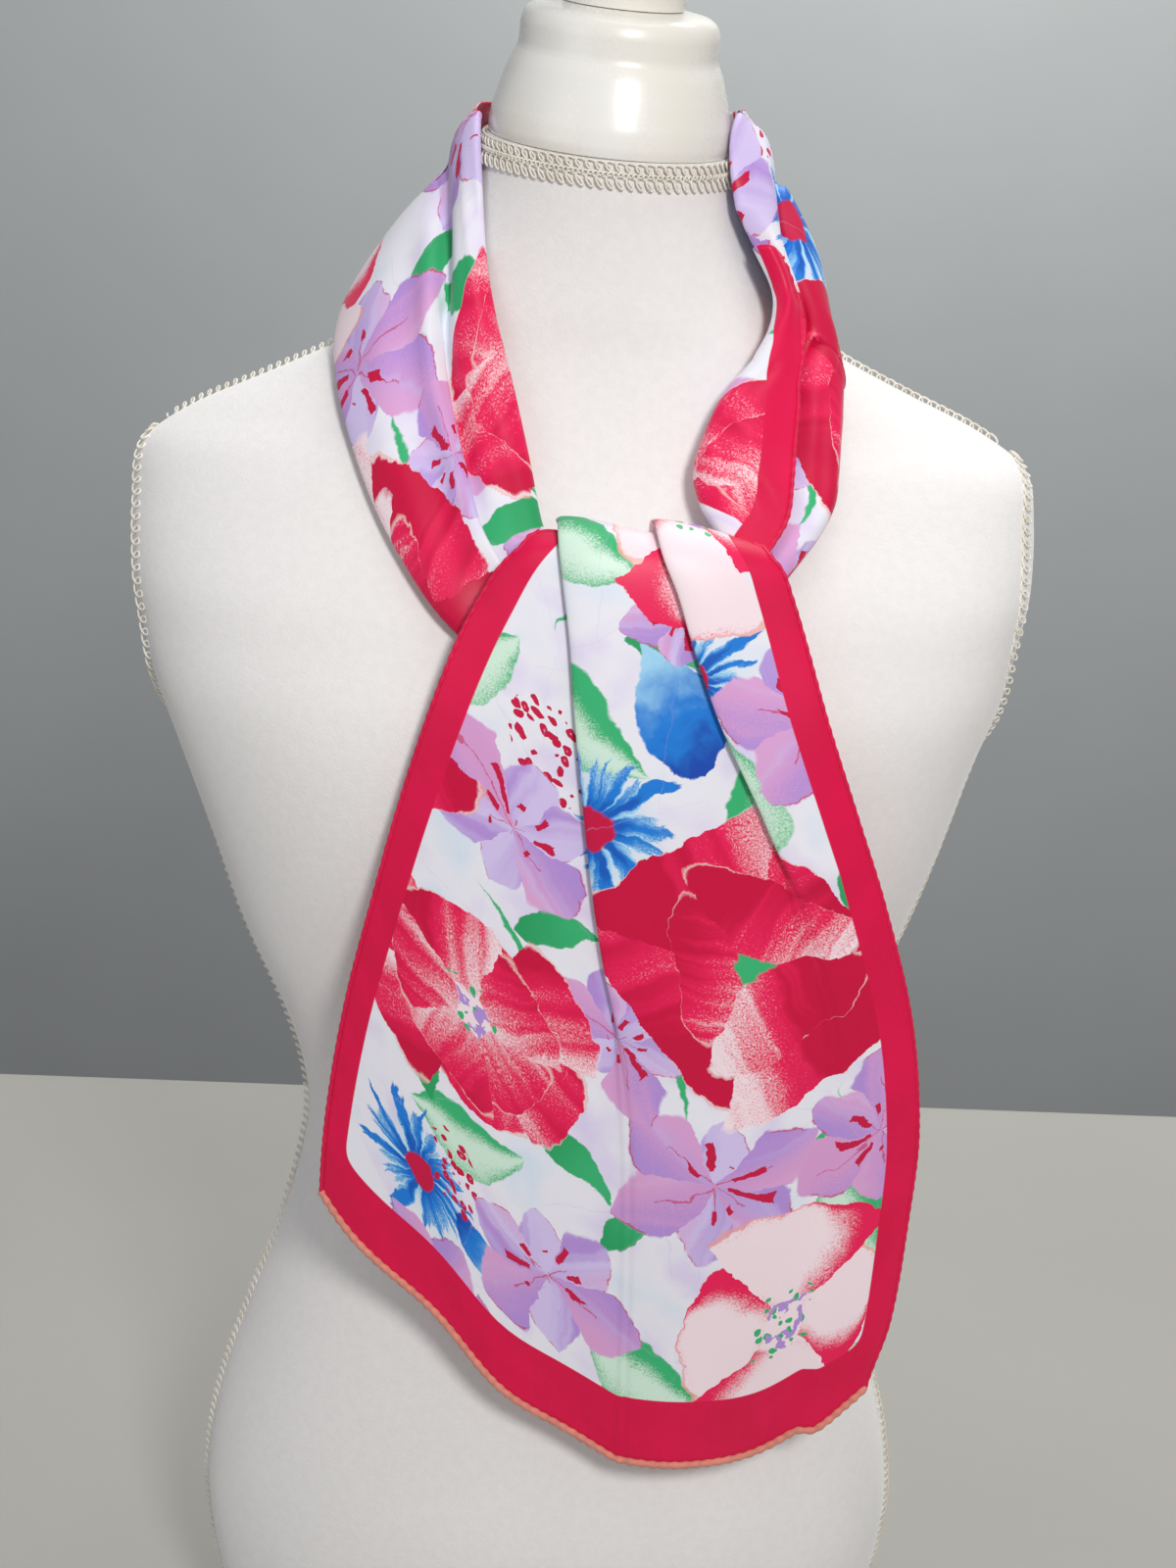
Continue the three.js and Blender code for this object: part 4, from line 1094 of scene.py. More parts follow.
    def leaf(self):
        side, half, shape = self.leaf_shape(0.42, 0.2)
        rim = abs(side) / half + side * 0.9 + self.grain * 0.9
        self.lay(shape, self.mix(rim.ramp(0.15, 0.85), LEAF_PALE, LEAF))

    def dark_leaf(self):
        _, _, shape = self.leaf_shape(0.34, -0.25)
        self.lay(shape, self.mix((self.x + self.grain * 0.4).ramp(-0.8, 0.6), LEAF_DARK, LEAF))

    def blue_leaf(self):
        _, _, shape = self.leaf_shape(0.5, 0.1)
        tone = self.x + self.brush - 0.5
        self.lay(shape, self.mix(tone.ramp(-0.2, 0.9), BLUE, BLUE_PALE))
        self.lay(shape * tone.ramp(-0.2, -0.9), BLUE_DEEP)

    def stem(self):
        _, _, shape = self.leaf_shape(0.07, 0.3)
        self.lay(shape, LEAF)


class Print(Finish):
    """The flower print, painted on its own plane and bounded by the scarf's edges."""

    def __init__(self, name, scarf):
        super().__init__(name, specular_ior_level=0.3, sheen_weight=0.12, sheen_roughness=0.4)
        self.plane = self.node("ShaderNodeUVMap", {}, uv_map="print")
        wander = self.shift(self.plane, self.noise(self.plane, 55, 2, output=1), 0.010)
        wander = self.shift(wander, self.noise(self.plane, 260, 2, output=1), 0.0024)
        self.spray = self.noise(wander, 1300, 1)
        self.wash = self.noise(wander, 30, 2)
        self.brush = self.noise(wander, 120, 3)
        dots = {"Vector": wander, "Scale": 200, "Randomness": 0.6}
        self.dots = self.node("ShaderNodeTexVoronoi", dots)
        self.u, self.v = [place + self.spray * 0.0008 for place in self.split(wander)]
        self.colour = self.mix(self.wash.ramp(0.45, 0.75) * 0.7, scarf.ground, LILAC_PALE)
        self.colour = self.mix(self.wash.ramp(0.48, 0.2) * 0.35, self.colour, BLUE_PALE)

    def shift(self, vector, by, most):
        """Moves a place by a noise colour, by up to half of most either way."""
        middle = self.node(
            "ShaderNodeVectorMath", {0: by, 1: (0.5, 0.5, 0.5)}, operation="SUBTRACT"
        )
        inputs = {0: middle, 1: (most, most, 0), 2: vector}
        return self.node("ShaderNodeVectorMath", inputs, operation="MULTIPLY_ADD")

    def stamp(self, motif):
        turn, size = math.radians(motif.turn), motif.size * MM
        numbers = (
            self.u, self.v, motif.u * MM, motif.v * MM, math.cos(turn) / size,
            math.sin(turn) / size, motif.chance, self.spray, self.brush, self.dots,
        )
        inputs = {"Ground": self.colour, **dict(zip(Stamp.NUMBERS, numbers))}
        group = bpy.data.node_groups.get(motif.kind) or Stamp(motif.kind).tree
        self.colour = self.node("ShaderNodeGroup", inputs, node_tree=group)

    def bound(self, scarf):
        """The border along the scarf's edges, and the cloth's own finish."""
        side, end = self.split(self.node("ShaderNodeUVMap", {}, uv_map="edges"))
        inside = self.maths("SMOOTH_MIN", side - scarf.side_border, end - scarf.end_border, 0.01)
        rim = self.mix(self.wash.ramp(0.3, 0.7) * 0.5, scarf.crimson, CRIMSON_DEEP)
        self.colour = self.mix(inside.ramp(0.0003, -0.0003), self.colour, rim)
        self.finish("Base Color", self.colour)
        self.finish("Roughness", self.wash * 0.12 + 0.36)
        self.bump(self.noise(self.plane, 1900, 2), 0.25, 0.0003)


def motifs_near(tile):
    """The flowers that reach one tile of the print plane, those of every repeat that it crosses."""
    found = []
    for motif in MOTIFS:
        for repeat in REPEATS:
            v = motif.v + repeat * REPEAT
            off = [(n + 0.5) * TILE / MM - middle for n, middle in zip(tile, (motif.u, v))]
            if max(map(abs, off)) < TILE / MM / 2 + motif.size * PETAL_REACH + WANDER:
                found.append(motif._replace(v=v))
    return found


def flower_print(scarf, tile):
    """The print's material on one tile of its plane, which holds only the flowers that reach it."""
    name = "flower_print_{}_{}".format(*tile)
    if name in bpy.data.materials:
        return bpy.data.materials[name]
    paint = Print(name, scarf)
    for motif in motifs_near(tile):
        paint.stamp(motif)
    paint.bound(scarf)
    return paint.material


def print_on(piece, scarf):
    """Gives each face of a piece the material of the tile of the print that it lies on."""
    places = piece.data.uv_layers["print"].data
    slots = {}
    for face in piece.data.polygons:
        u, v = [sum(places[i].uv[axis] for i in face.loop_indices) for axis in (0, 1)]
        tile = tuple(math.floor(total / len(face.loop_indices) / TILE) for total in (u, v))
        if tile not in slots:
            slots[tile] = len(slots)
            piece.data.materials.append(flower_print(scarf, tile))
        face.material_index = slots[tile]


def plain_cloth(name, colour):
    """One colour of the scarf's cloth, for its hems."""
    paint = Finish(name, roughness=0.5, specular_ior_level=0.3, sheen_weight=0.12)
    place = paint.node("ShaderNodeTexCoord", {}, output=3)
    patch = paint.noise(place, 160, 3)
    darker = tuple(0.86 * part for part in colour)
    paint.finish("Base Color", paint.mix(patch.ramp(0.35, 0.7), darker, colour))
    paint.bump(paint.noise(place, 1500, 2), 0.4, 0.0003)
    return paint.material


# ----------------------------------------------------------------------------------------------
# The form's materials
# ----------------------------------------------------------------------------------------------


def napped_jersey(form):
    paint = Finish("napped_jersey", sheen_weight=0.35, sheen_roughness=0.5)
    place = paint.node("ShaderNodeTexCoord", {}, output=3)
    brushed = paint.noise(place, 14, 4)
    nap = paint.noise(place, 900, 3)
    tufts = paint.noise(place, 260, 3)
    worn = tuple(part * 0.95 for part in form.jersey)
    tone = brushed.ramp(0.3, 0.7) * 0.5 + tufts.ramp(0.35, 0.65) * 0.5
    paint.finish("Base Color", paint.mix(tone, worn, form.jersey))
    paint.finish("Roughness", nap * 0.2 + 0.8)
    paint.bump(nap * 0.6 + tufts * 0.4, 0.35, 0.0008)
    return paint.material


def twisted_cord(form):
    paint = Finish("twisted_cord", sheen_weight=0.2)
    place = paint.node("ShaderNodeTexCoord", {}, output=3)
    strands = paint.noise(place, 2600, 2)
    soil = paint.noise(place, 90, 3)
    dull = tuple(part * k for part, k in zip(form.trim, (0.86, 0.83, 0.76)))
    tone = soil.ramp(0.3, 0.65) * 0.7 + strands * 0.3
    paint.finish("Base Color", paint.mix(tone, dull, form.trim))
    paint.finish("Roughness", strands * 0.25 + 0.45)
    paint.bump(strands, 0.5, 0.0004)
    return paint.material


def moulded_plastic(form):
    paint = Finish("moulded_plastic", coat_weight=0.35, coat_roughness=0.12)
    place = paint.node("ShaderNodeTexCoord", {}, output=3)
    cloud = paint.noise(place, 22, 4)
    scuffs = paint.noise(place, 480, 3)
    aged = tuple(part * k for part, k in zip(form.plastic, (0.97, 0.95, 0.9)))
    paint.finish("Base Color", paint.mix(cloud.ramp(0.35, 0.7), form.plastic, aged))
    paint.finish("Roughness", cloud * 0.14 + scuffs * 0.08 + 0.16)
    paint.bump(cloud * 0.8 + scuffs * 0.2, 0.12, 0.001)
    return paint.material


# ----------------------------------------------------------------------------------------------
# The form's pieces
# ----------------------------------------------------------------------------------------------


def make_torso(form):
    """The padded body, closed at its base and at the top of the neck."""
    levels = [0]
    for part in TORSO_LEVELS:
        start = levels[-1]
        levels += [lerp(start, part.to, i / part.steps) for i in range(1, part.steps + 1)]
    bm = bmesh.new()
    bmesh.ops.create_grid(bm, x_segments=form.segments, y_segments=len(levels) - 1, size=1)
    for vert in bm.verts:
        around = round((vert.co.x + 1) / 2 * form.segments) % form.segments
        level = levels[round((vert.co.y + 1) / 2 * (len(levels) - 1))]
        vert.co = torso_point(2 * math.pi * around / form.segments, level) * MM
    bmesh.ops.remove_doubles(bm, verts=bm.verts, dist=1e-6)
    bmesh.ops.holes_fill(bm, edges=bm.edges, sides=0)
    bmesh.ops.recalc_face_normals(bm, faces=bm.faces)
    mesh = mesh_from(bm, "torso")
    piece = add_piece("torso", mesh, napped_jersey(form), ["form_torso"])
    mesh.set_sharp_from_angle(angle=math.radians(50))
    return piece


def make_turned(name, profile, lift, material, node):
    """A turned piece that stands on the neck's tilted top."""
    outline = [Vector((0, 0, profile[0][1]))]
    outline += [Vector((radius, 0, height)) for radius, height in profile]
    outline += [Vector((0, 0, profile[-1][1]))]
    bm = bmesh.new()
    verts = [bm.verts.new(point) for point in outline]
    for pair in zip(verts, verts[1:]):
        bm.edges.new(pair)
    bmesh.ops.bevel(
        bm, geom=verts[2:-1], offset=TURNED_EDGE, offset_type="OFFSET", affect="VERTICES",
        segments=3, profile=0.5, material=-1,
    )
    bmesh.ops.spin(
        bm, geom=list(bm.verts) + list(bm.edges), cent=(0, 0, 0), axis=(0, 0, 1),
        angle=2 * math.pi, steps=TURNED_SEGMENTS, use_merge=True,
    )
    bmesh.ops.remove_doubles(bm, verts=bm.verts, dist=1e-4)
    bmesh.ops.recalc_face_normals(bm, faces=bm.faces)
    tilt = Matrix.Rotation(NECK_FALLS_FRONT, 4, "X") @ Matrix.Rotation(NECK_FALLS_SIDE, 4, "Y")
    raised = Matrix.Translation((0, 0, lift))
    place = Matrix.Scale(MM, 4) @ Matrix.Translation(NECK_TOP) @ tilt @ raised
    bmesh.ops.transform(bm, matrix=place, verts=bm.verts)
    mesh = mesh_from(bm, name)
    piece = add_piece(name, mesh, material, [node])
    mesh.set_sharp_from_angle(angle=math.radians(40))
    return piece


def chain_points(path, chain, looped, turns_at=None):
    """A cord that loops over itself along a path on the torso. It leans forwards where y is below
    turns_at, and backwards beyond it."""
    spaced = evenly(path, chain.step, looped)
    count = len(spaced)
    outs = [body_side(point)[0] for point in spaced]
    if turns_at is not None:
        for point, out in zip(spaced, outs):
            out.y += BRAID_LEAN * min(max((point.y - turns_at) / LEAN_OVER, -1), 1)
    points = []
    for i in range(count if looped else count - 1):
        a, b = spaced[i], spaced[(i + 1) % count]
        c = spaced[(i + 2) % count] if looped or i + 2 < count else b * 2 - a
        z = spaced[i - 1] if looped or i > 0 else a * 2 - b
        for k in range(LOOP_POINTS):
            t = k / LOOP_POINTS
            along = (b - z).lerp(c - a, t).normalized()
            normal = outs[i].lerp(outs[(i + 1) % count], t).normalized()
            across = along.cross(normal).normalized()
            turn = 2 * math.pi * t
            aside = chain.swing * math.cos(turn)
            point = a.lerp(b, t) + across * aside
            point -= along * (chain.back * math.sin(turn) + chain.slant * aside)
            point += normal * (BRAID_CLEAR + chain.rise * (1 + math.sin(turn)))
            points.append(point)
    return points


def onto_torso(points):
    return [settle(Vector(point), 0, cling=1) for point in points]


def armhole_path(hand, count=90):
    """Round one armhole. hand is -1 on the -X side and 1 on the +X side."""
    middle = (ARMHOLE.top + ARMHOLE.bottom) / 2
    tall = (ARMHOLE.top - ARMHOLE.bottom) / 2
    path = []
    for i in range(count):
        angle = 2 * math.pi * i / count
        z = middle + tall * math.cos(angle)
        ring = read_table(TORSO_RINGS, z)
        deep = ARMHOLE.front_half if math.sin(angle) < 0 else ARMHOLE.back_half
        path.append((hand * ring.half, ring.mid_y + deep * math.sin(angle), z))
    return onto_torso(path)


def shoulder_path(hand, count=40, inside_z=600):
    """Along the top of one shoulder, found by rising through the torso from inside_z."""
    path = []
    for i in range(count):
        x = hand * lerp(SHOULDER.from_x, SHOULDER.to_x, i / (count - 1))
        z = inside_z
        while body_field(x, SHOULDER.y, z) < 0:
            z += 1
        path.append((x, SHOULDER.y, z))
    return onto_torso(path)


def side_path(hand, count=80):
    """Down one side of the torso."""
    levels = [lerp(SIDE.from_z, SIDE.to_z, i / (count - 1)) for i in range(count)]
    return onto_torso((hand * read_table(TORSO_RINGS, z).half, SIDE.y, z) for z in levels)


def neck_path(down, count=120):
    """The neck's rim, some way down from its top."""
    level = NECK_TOP.z - down
    return [torso_point(2 * math.pi * i / count, level) for i in range(count)]


def make_braids(form):
    """The chain braids on the seams, and three rows of them round the top of the neck."""
    cord = twisted_cord(form)
    for side, hand in (("left", -1), ("right", 1)):
        for name, path, chain, looped, turns_at in (
            ("shoulder", shoulder_path(hand), EDGE_CHAIN, False, ALL_FORWARDS),
            ("armhole", armhole_path(hand), ARMHOLE_CHAIN, True, ARMHOLE_TURNS),
            ("side", side_path(hand), EDGE_CHAIN, False, ALL_FORWARDS),
        ):
            name = f"{name}_braid_{side}"
            points = chain_points(path, chain, looped, turns_at)
            mesh = cord_mesh(name, points, form.cord, looped)
            add_piece(f"{name}_cord", mesh, cord, [name])
    bm = bmesh.new()
    for down, chain in NECK_ROWS:
        mesh = cord_mesh("row", chain_points(neck_path(down), chain, True), form.cord, True)
        bm.from_mesh(mesh)
        bpy.data.meshes.remove(mesh)
    add_piece("neck_braid_cord", mesh_from(bm, "neck_braid_cord"), cord, ["neck_braid"])


# ----------------------------------------------------------------------------------------------
# The scarf's shapes
# ----------------------------------------------------------------------------------------------

LOOP_LINES = [[Vector(place) for place in line] for line in zip(*NECK_LOOP)]


def loop_base(v, s):
    """A point of the loop before its folds: s is 0 on the inner edge, 1 on the crease and 2 on the
    outer edge."""
    t = min(max(v / LOOP_LAST, 0), 1)
    inner, crease, outer = [even_curve(line, t) for line in LOOP_LINES]
    point = inner * ((s - 1) * (s - 2) / 2) + crease * (s * (2 - s)) + outer * (s * (s - 1) / 2)
    return settle(point, CLOTH_LIFT)


def loop_spot(v, s):
    """A point of the loop before its folds, and the way in to the form there."""
    d = 0.02
    across = loop_base(v, s + d) - loop_base(v, s - d)
    along = loop_base(min(v + d, LOOP_LAST), s) - loop_base(max(v - d, 0), s)
    return loop_base(v, s), across.cross(along).normalized()


def loop_trough(v, s):
    """How far the soft troughs press the loop in at a place."""
    deep = 0
    for trough in LOOP_TROUGHS:
        t = (v - trough.v_from) / (trough.v_to - trough.v_from)
        fade = smoothstep(t, 0, TROUGH_FADE) * smoothstep(t, 1, 1 - TROUGH_FADE)
        aside = (s - lerp(trough.s_from, trough.s_to, t)) / trough.wide
        deep += trough.deep * fade * math.exp(-(aside**2))
    return deep


def fold_controls(lap, low, rise):
    """The six controls that take a sheet back on itself and over again."""
    folded = smoothstep(lap, FOLD_OPEN, FOLD_CLOSED)
    over = max(lap, FOLD_CLOSED)
    step = lerp(rise, FOLD_STEP, smoothstep(folded, 0, 0.5))
    layers = ((over, 0), (over + FOLD_TIP, 0.5), (over, 1), (0, 1), (-FOLD_TIP, 1.5), (0, 2))
    return [
        (lerp((i - 2.5) * FOLD_SPACING, offset, folded), low + height * step)
        for i, (offset, height) in enumerate(layers)
    ]


def strand_section(v, fold, inside, outside):
    """A gathered strand: both edges turn under, and a crease parts it into two facets."""
    top = FOLD_STEP
    crease = [
        (1 + offset / (inside if offset < 0 else outside), height)
        for offset, height in fold_controls(fold.lap, fold.low, fold.rise)
    ]
    across = [
        (0.12, -2), (0.05, -2.2), (-FOLD_TIP / inside, -0.6), (0.03, top - 1.4),
        (0.2, top + 0.4 * fold.puff), (0.45, top + fold.puff), (0.7, top + 0.6 * fold.puff),
        *crease,
        (1.32, top + fold.puff), (1.6, top + fold.puff), (1.86, top + 0.4 * fold.puff),
        (1.98, top - 1.2), (2 + FOLD_TIP / outside, -0.4), (1.96, -2), (1.7, -1.8),
    ]
    drawn = read_table(TWIST, v)
    inner, outer = (drawn.inner, drawn.outer) if v > TWIST[0].station else (0, 2)
    return [
        (lerp(inner, 1, s) if s < 1 else lerp(1, outer, s - 1), height) for s, height in across
    ]


def collar_section(v, fold, inside, outside):
    """Behind the neck the band lies open, with one soft crease."""
    top = fold.low + 2 * fold.rise
    return [
        (0, 0.6), (0.12, 2), (0.45, 2 + fold.puff), (0.85, fold.low), (1.05, top),
        (1.4, 3 + fold.puff), (1.8, 2.5), (2, 1),
    ]


def hemmed_section(v, fold, inside, outside):
    """Past the twist the scarf's hem lies on top, over a pouch and the outer edge."""
    drawn = read_table(TWIST, v)
    hem, sink = (drawn.hem, drawn.sink) if v < TWIST[-1].station else (1, 0)
    top = 2 * FOLD_STEP - sink / 3
    puff = fold.puff
    outer = FOLD_STEP + lerp(puff, puff / 3, smoothstep(v, POUCH_FULL, POUCH_FLAT)) - sink
    return [
        (hem, top), (0.75 * hem, top + puff / 3), (0.5 * hem, top + puff),
        (0.25 * hem, top + puff), (0.08, top + puff / 2), (0, FOLD_STEP + 2), (0, 1), (0.1, 0),
        (0.4, 0), (0.8, 0), (1.1, 0.5), (1.32, outer), (1.6, outer), (1.86, outer - 1), (2, 0),
    ]


def loop_grid(start, end, rows, section):
    """A stretch of the neck loop as rows of points."""
    grid = []
    for r in range(rows):
        v = lerp(start + STATION_TRIM, end - STATION_TRIM, r / (rows - 1))
        inside = (loop_base(v, 0) - loop_base(v, 1)).length
        outside = (loop_base(v, 1) - loop_base(v, 2)).length
        controls = section(v, read_table(LOOP_FOLDS, v), inside, outside)
        places = [i / LOOP_FINENESS for i in range((len(controls) - 1) * LOOP_FINENESS + 1)]
        spots = [loop_spot(v, s) for s, _ in controls]
        raised = [base - way_in * height for (base, way_in), (_, height) in zip(spots, controls)]
        points = rounded_curve(raised, places)
        ways_in = rounded_curve([way_in for _, way_in in spots], places)
        across = rounded_curve([s for s, _ in controls], places)
        rows_of = zip(points, ways_in, across)
        grid.append([point + way_in * loop_trough(v, s) for point, way_in, s in rows_of])
    return grid


def panel_edges(drop, z):
    """The panel's edges and pleats at one drop and height, or where it gathers behind the knot."""
    edge, pleat = read_table(PANEL_EDGES, z), read_table(PANEL_PLEATS, z)
    if drop <= 0:
        edge, pleat = PANEL_EDGES[-1], PANEL_PLEATS[-1]
        edge = edge._replace(
            left=edge.left - PANEL_GATHER.left * drop, right=edge.right + PANEL_GATHER.right * drop
        )
        pleat = pleat._replace(
            pleat_a=pleat.pleat_a - PANEL_GATHER.pleat_a * drop,
            lap_a=pleat.lap_a + PANEL_GATHER.lap * drop,
            lap_b=pleat.lap_b + PANEL_GATHER.lap * drop,
        )
    return edge, pleat


def panel_controls(edge, pleat, fold):
    """The panel's section where its edges and pleats are so: share of the width, x and height."""
    fold_a = fold_controls(pleat.lap_a, 0, pleat.open_a * fold)
    fold_b = fold_controls(pleat.lap_b, 0.2 * fold, pleat.open_b * fold)
    swell = min(fold, (pleat.pleat_a - edge.left) / 8)
    a, b = pleat.pleat_a, pleat.pleat_b

    def facet(share_from, share_to, x_from, x_to, heights):
        return [
            (lerp(share_from, share_to, t), lerp(x_from, x_to, t), height) for t, height in heights
        ]

    left = [(0, 0), (0.1, 0.4), (0.24, 0.8), (0.42, 0.8), (0.6, 0.6), (0.8, 0.2)]
    left = [(t, height * swell) for t, height in left]
    top_a, top_b = fold_a[5][1], fold_b[5][1]
    middle = [(0.2, top_a), (0.42, 0.7 * top_a), (0.66, 0.8 * fold), (0.84, 0.3 * fold)]
    right = [(0.3, 0.9 * top_b), (0.6, 0.5 * top_b), (0.88, 0.4 * fold), (1, 0)]
    return (
        facet(0, PLEAT_A_ACROSS, edge.left, a + fold_a[0][0], left)
        + [(PLEAT_A_ACROSS, a + x, height) for x, height in fold_a]
        + facet(PLEAT_A_ACROSS, PLEAT_B_ACROSS, a + fold_a[5][0], b + fold_b[0][0], middle)
        + [(PLEAT_B_ACROSS, b + x, height) for x, height in fold_b]
        + facet(PLEAT_B_ACROSS, 1, b + fold_b[5][0], edge.right, right)
    )


def trough_depth(x, z):
    """How far the soft troughs press the panel in at a point."""
    deep = 0
    for t in PANEL_TROUGHS:
        line = Vector((t.x_to - t.x_from, t.z_to - t.z_from))
        reach = line.length
        off = Vector((x - t.x_from, z - t.z_from))
        along = off.dot(line) / reach**2
        aside = abs(off.cross(line)) / reach
        fade = smoothstep(along, -0.15, 0.3) * smoothstep(along, 1.25, 0.6)
        deep += t.deep * fade * math.exp(-((aside / t.wide) ** 2))
    return deep


def panel_point(drop, index):
    """One control point of the panel at one drop."""
    fold = read_table(PANEL_FALL, drop).fold
    share = panel_controls(PANEL_EDGES[0], PANEL_PLEATS[0], fold)[index][0]
    reach = read_table(PANEL_REACH, share).reach
    fall = drop * lerp(1, reach, smoothstep(drop, 0, SHORTENS_OVER))
    here, after = read_table(PANEL_FALL, fall - 1), read_table(PANEL_FALL, fall + 1)
    out = Vector((0, after.z - here.z, here.y - after.y)).normalized()
    y, z = (here.y + after.y) / 2, (here.z + after.z) / 2
    edge, pleat = panel_edges(fall, z)
    _, x, height = panel_controls(edge, pleat, fold)[index]
    side = 2 * (x - edge.left) / (edge.right - edge.left) - 1
    back = (edge.back_left if side < 0 else edge.back_right) * side**2
    if drop > 0:
        height -= trough_depth(x, z)
        ripple = sum(r.high * math.exp(-(((x - r.x) / r.wide) ** 2)) for r in LOWER_RIPPLES)
        height += ripple * smoothstep(PANEL_LENGTH - drop, RIPPLE_REACH, 0)
    return Vector((x, y, z)) + out * (height - back)


def panel_drops():
    """How far down the middle each row lies; the rows behind the knot have drops below 0."""
    drops = []
    for r in range(-PANEL_ROWS_BEHIND, PANEL_ROWS_FRONT + 1):
        if r < 0:
            drops.append(-r / PANEL_ROWS_BEHIND * PANEL_FALL[0].drop)
        else:
            drops.append((r / PANEL_ROWS_FRONT) ** PANEL_CLOSER * PANEL_LENGTH)
    return drops


def panel_grid():
    """The panel as rows of points, from behind the knot over it and down."""
    places = [i / PANEL_FINENESS for i in range((PANEL_CONTROLS - 1) * PANEL_FINENESS + 1)]
    grid = []
    for drop in panel_drops():
        controls = [panel_point(drop, index) for index in range(PANEL_CONTROLS)]
        grid.append(rounded_curve(controls, places))
    return grid


def tail_grid(rows=60, columns=70):
    """The tail as rows of points, from the knot down."""
    bottom, top = TAIL_ROWS[0].z, TAIL_ROWS[-1].z
    grid = []
    for r in range(rows):
        z = lerp(top, bottom, r / (rows - 1))
        row = read_table(TAIL_ROWS, z)
        points = []
        for c in range(columns):
            across = c / (columns - 1)
            raised = row.wave * (1 - math.cos(2 * math.pi * TAIL_FOLDS * across)) / 2
            hung = TAIL_PLUMB_Y if z < TAIL_BUST_Z else TAIL_KNOT_Y
            point = settle(Vector((lerp(row.left, row.right, across), hung, z)), CLOTH_LIFT)
            point.y -= raised
            points.append(point)
        grid.append(points)
    return grid


def running_length(points):
    lengths = [0]
    for a, b in zip(points, points[1:]):
        lengths.append(lengths[-1] + (b - a).length)
    return lengths


def mark_grid(grid, anchor, at, edge_rule):
    """Places on the print, in metres, from the column anchor, whose first point is at its place
    there, and distances from the scarf's edges."""
    down = running_length([row[anchor] for row in grid])
    marks = []
    for r, row in enumerate(grid):
        across = running_length(row)
        marks.append([])
        for c in range(len(row)):
            u = at[0] + (across[c] - across[anchor]) * MM
            v = at[1] - down[r] * MM
            marks[-1].append(((u, v), edge_rule(r, c, across)))
    return marks


# ----------------------------------------------------------------------------------------------
# The scarf's pieces
# ----------------------------------------------------------------------------------------------

def no_edge(row, column, across):
    """The edges of a stretch that shows no border."""
    return FAR_FROM_EDGE, FAR_FROM_EDGE


def hemmed_edges(row, column, across):
    """The hem that lies on top has its border, and a narrow strip of it shows at the far edge."""
    far = (across[-1] - across[column]) * MM + FAR_TURNED_UNDER
    return min(across[column] * MM, far), FAR_FROM_EDGE


def hanging_edges(grid):
    """The edge rule of an end of the scarf, with a border at both sides and below."""
    columns = [running_length(column) for column in zip(*grid)]

    def edges(row, column, across):
        side = min(across[column], across[-1] - across[column])
        return side * MM, (columns[column][-1] - columns[column][row]) * MM

    return edges


def hem_along(name, points, scarf, material, thick=1.0):
    """A rolled hem, drawn in a little at each stitch."""
    spaced = evenly(points, HEM_STEP)
    stitches = [math.cos(2 * math.pi * i / STITCH_POINTS) for i in range(len(spaced))]
    radii = [thick * (1 + STITCH_DRAW * stitch) for stitch in stitches]
    mesh = cord_mesh(name, spaced, scarf.hem, False, radii, sides=2)
    return add_piece(name, mesh, material)


def make_front_panel(scarf):
    """The end that comes over the knot, placed on the print by its lowest point, and its hems."""
    grid = panel_grid()
    anchor = PLEAT_A_PLACE * PANEL_FINENESS
    marks = mark_grid(grid, anchor, (PANEL_PLACE, 0), hanging_edges(grid))
    lowest = min(marks[-1][c][0][1] for c in range(len(grid[0])))
    marks = [[((u, v - lowest), edge) for (u, v), edge in row] for row in marks]
    panel = cloth_piece("front_panel", grid, marks, scarf, "scarf_front_panel")
    crimson = plain_cloth("crimson_hem", scarf.crimson)
    salmon = plain_cloth("salmon_hem", scarf.reverse)
    first = PANEL_ROWS_BEHIND
    left = hem_along("panel_left_hem", [row[0] for row in grid[first:]], scarf, crimson)
    right = hem_along("panel_right_hem", [row[-1] for row in grid[first:]], scarf, crimson)
    lower = hem_along("panel_end_hem", grid[-1], scarf, salmon, END_HEM_THICK)


# The stretches of the loop: their stations, rows and section, the control that anchors the print
# and its place there in metres, and their width and length when flat.
Stretch = namedtuple("Stretch", "name start end rows section anchor at wide long")
LOOP_STRETCHES = (
    Stretch("left_strand", 0, 7, 90, strand_section, 9, (0.12, 0.62), 0.115, 0.19),
    Stretch("back_neck", 7, 12.99, 80, collar_section, 4, (0.13, 0.9), 0.105, 0.23),
    Stretch("right_upper", 13, TWIST_TO, 64, strand_section, 14, (0.16, 1.025), 0.085, 0.076),
    Stretch("right_lower", TWIST_FROM, 22, 96, hemmed_section, 12, (0.16, 0.9835), 0.085, 0.12),
)


def make_neck_loop(scarf):
    """The four stretches that lie round the neck."""
    for name, start, end, rows, section, anchor, at, wide, long in LOOP_STRETCHES:
        grid = loop_grid(start, end, rows, section)
        hemmed = section is hemmed_section
        rule = hemmed_edges if hemmed else no_edge
        marks = mark_grid(grid, anchor * LOOP_FINENESS, at, rule)
        piece = cloth_piece(name, grid, marks, scarf, f"scarf_{name}")
        if hemmed:
            crimson = plain_cloth("strand_hem_crimson", scarf.crimson)
            hem_along("strand_hem", [row[0] for row in grid], scarf, crimson)


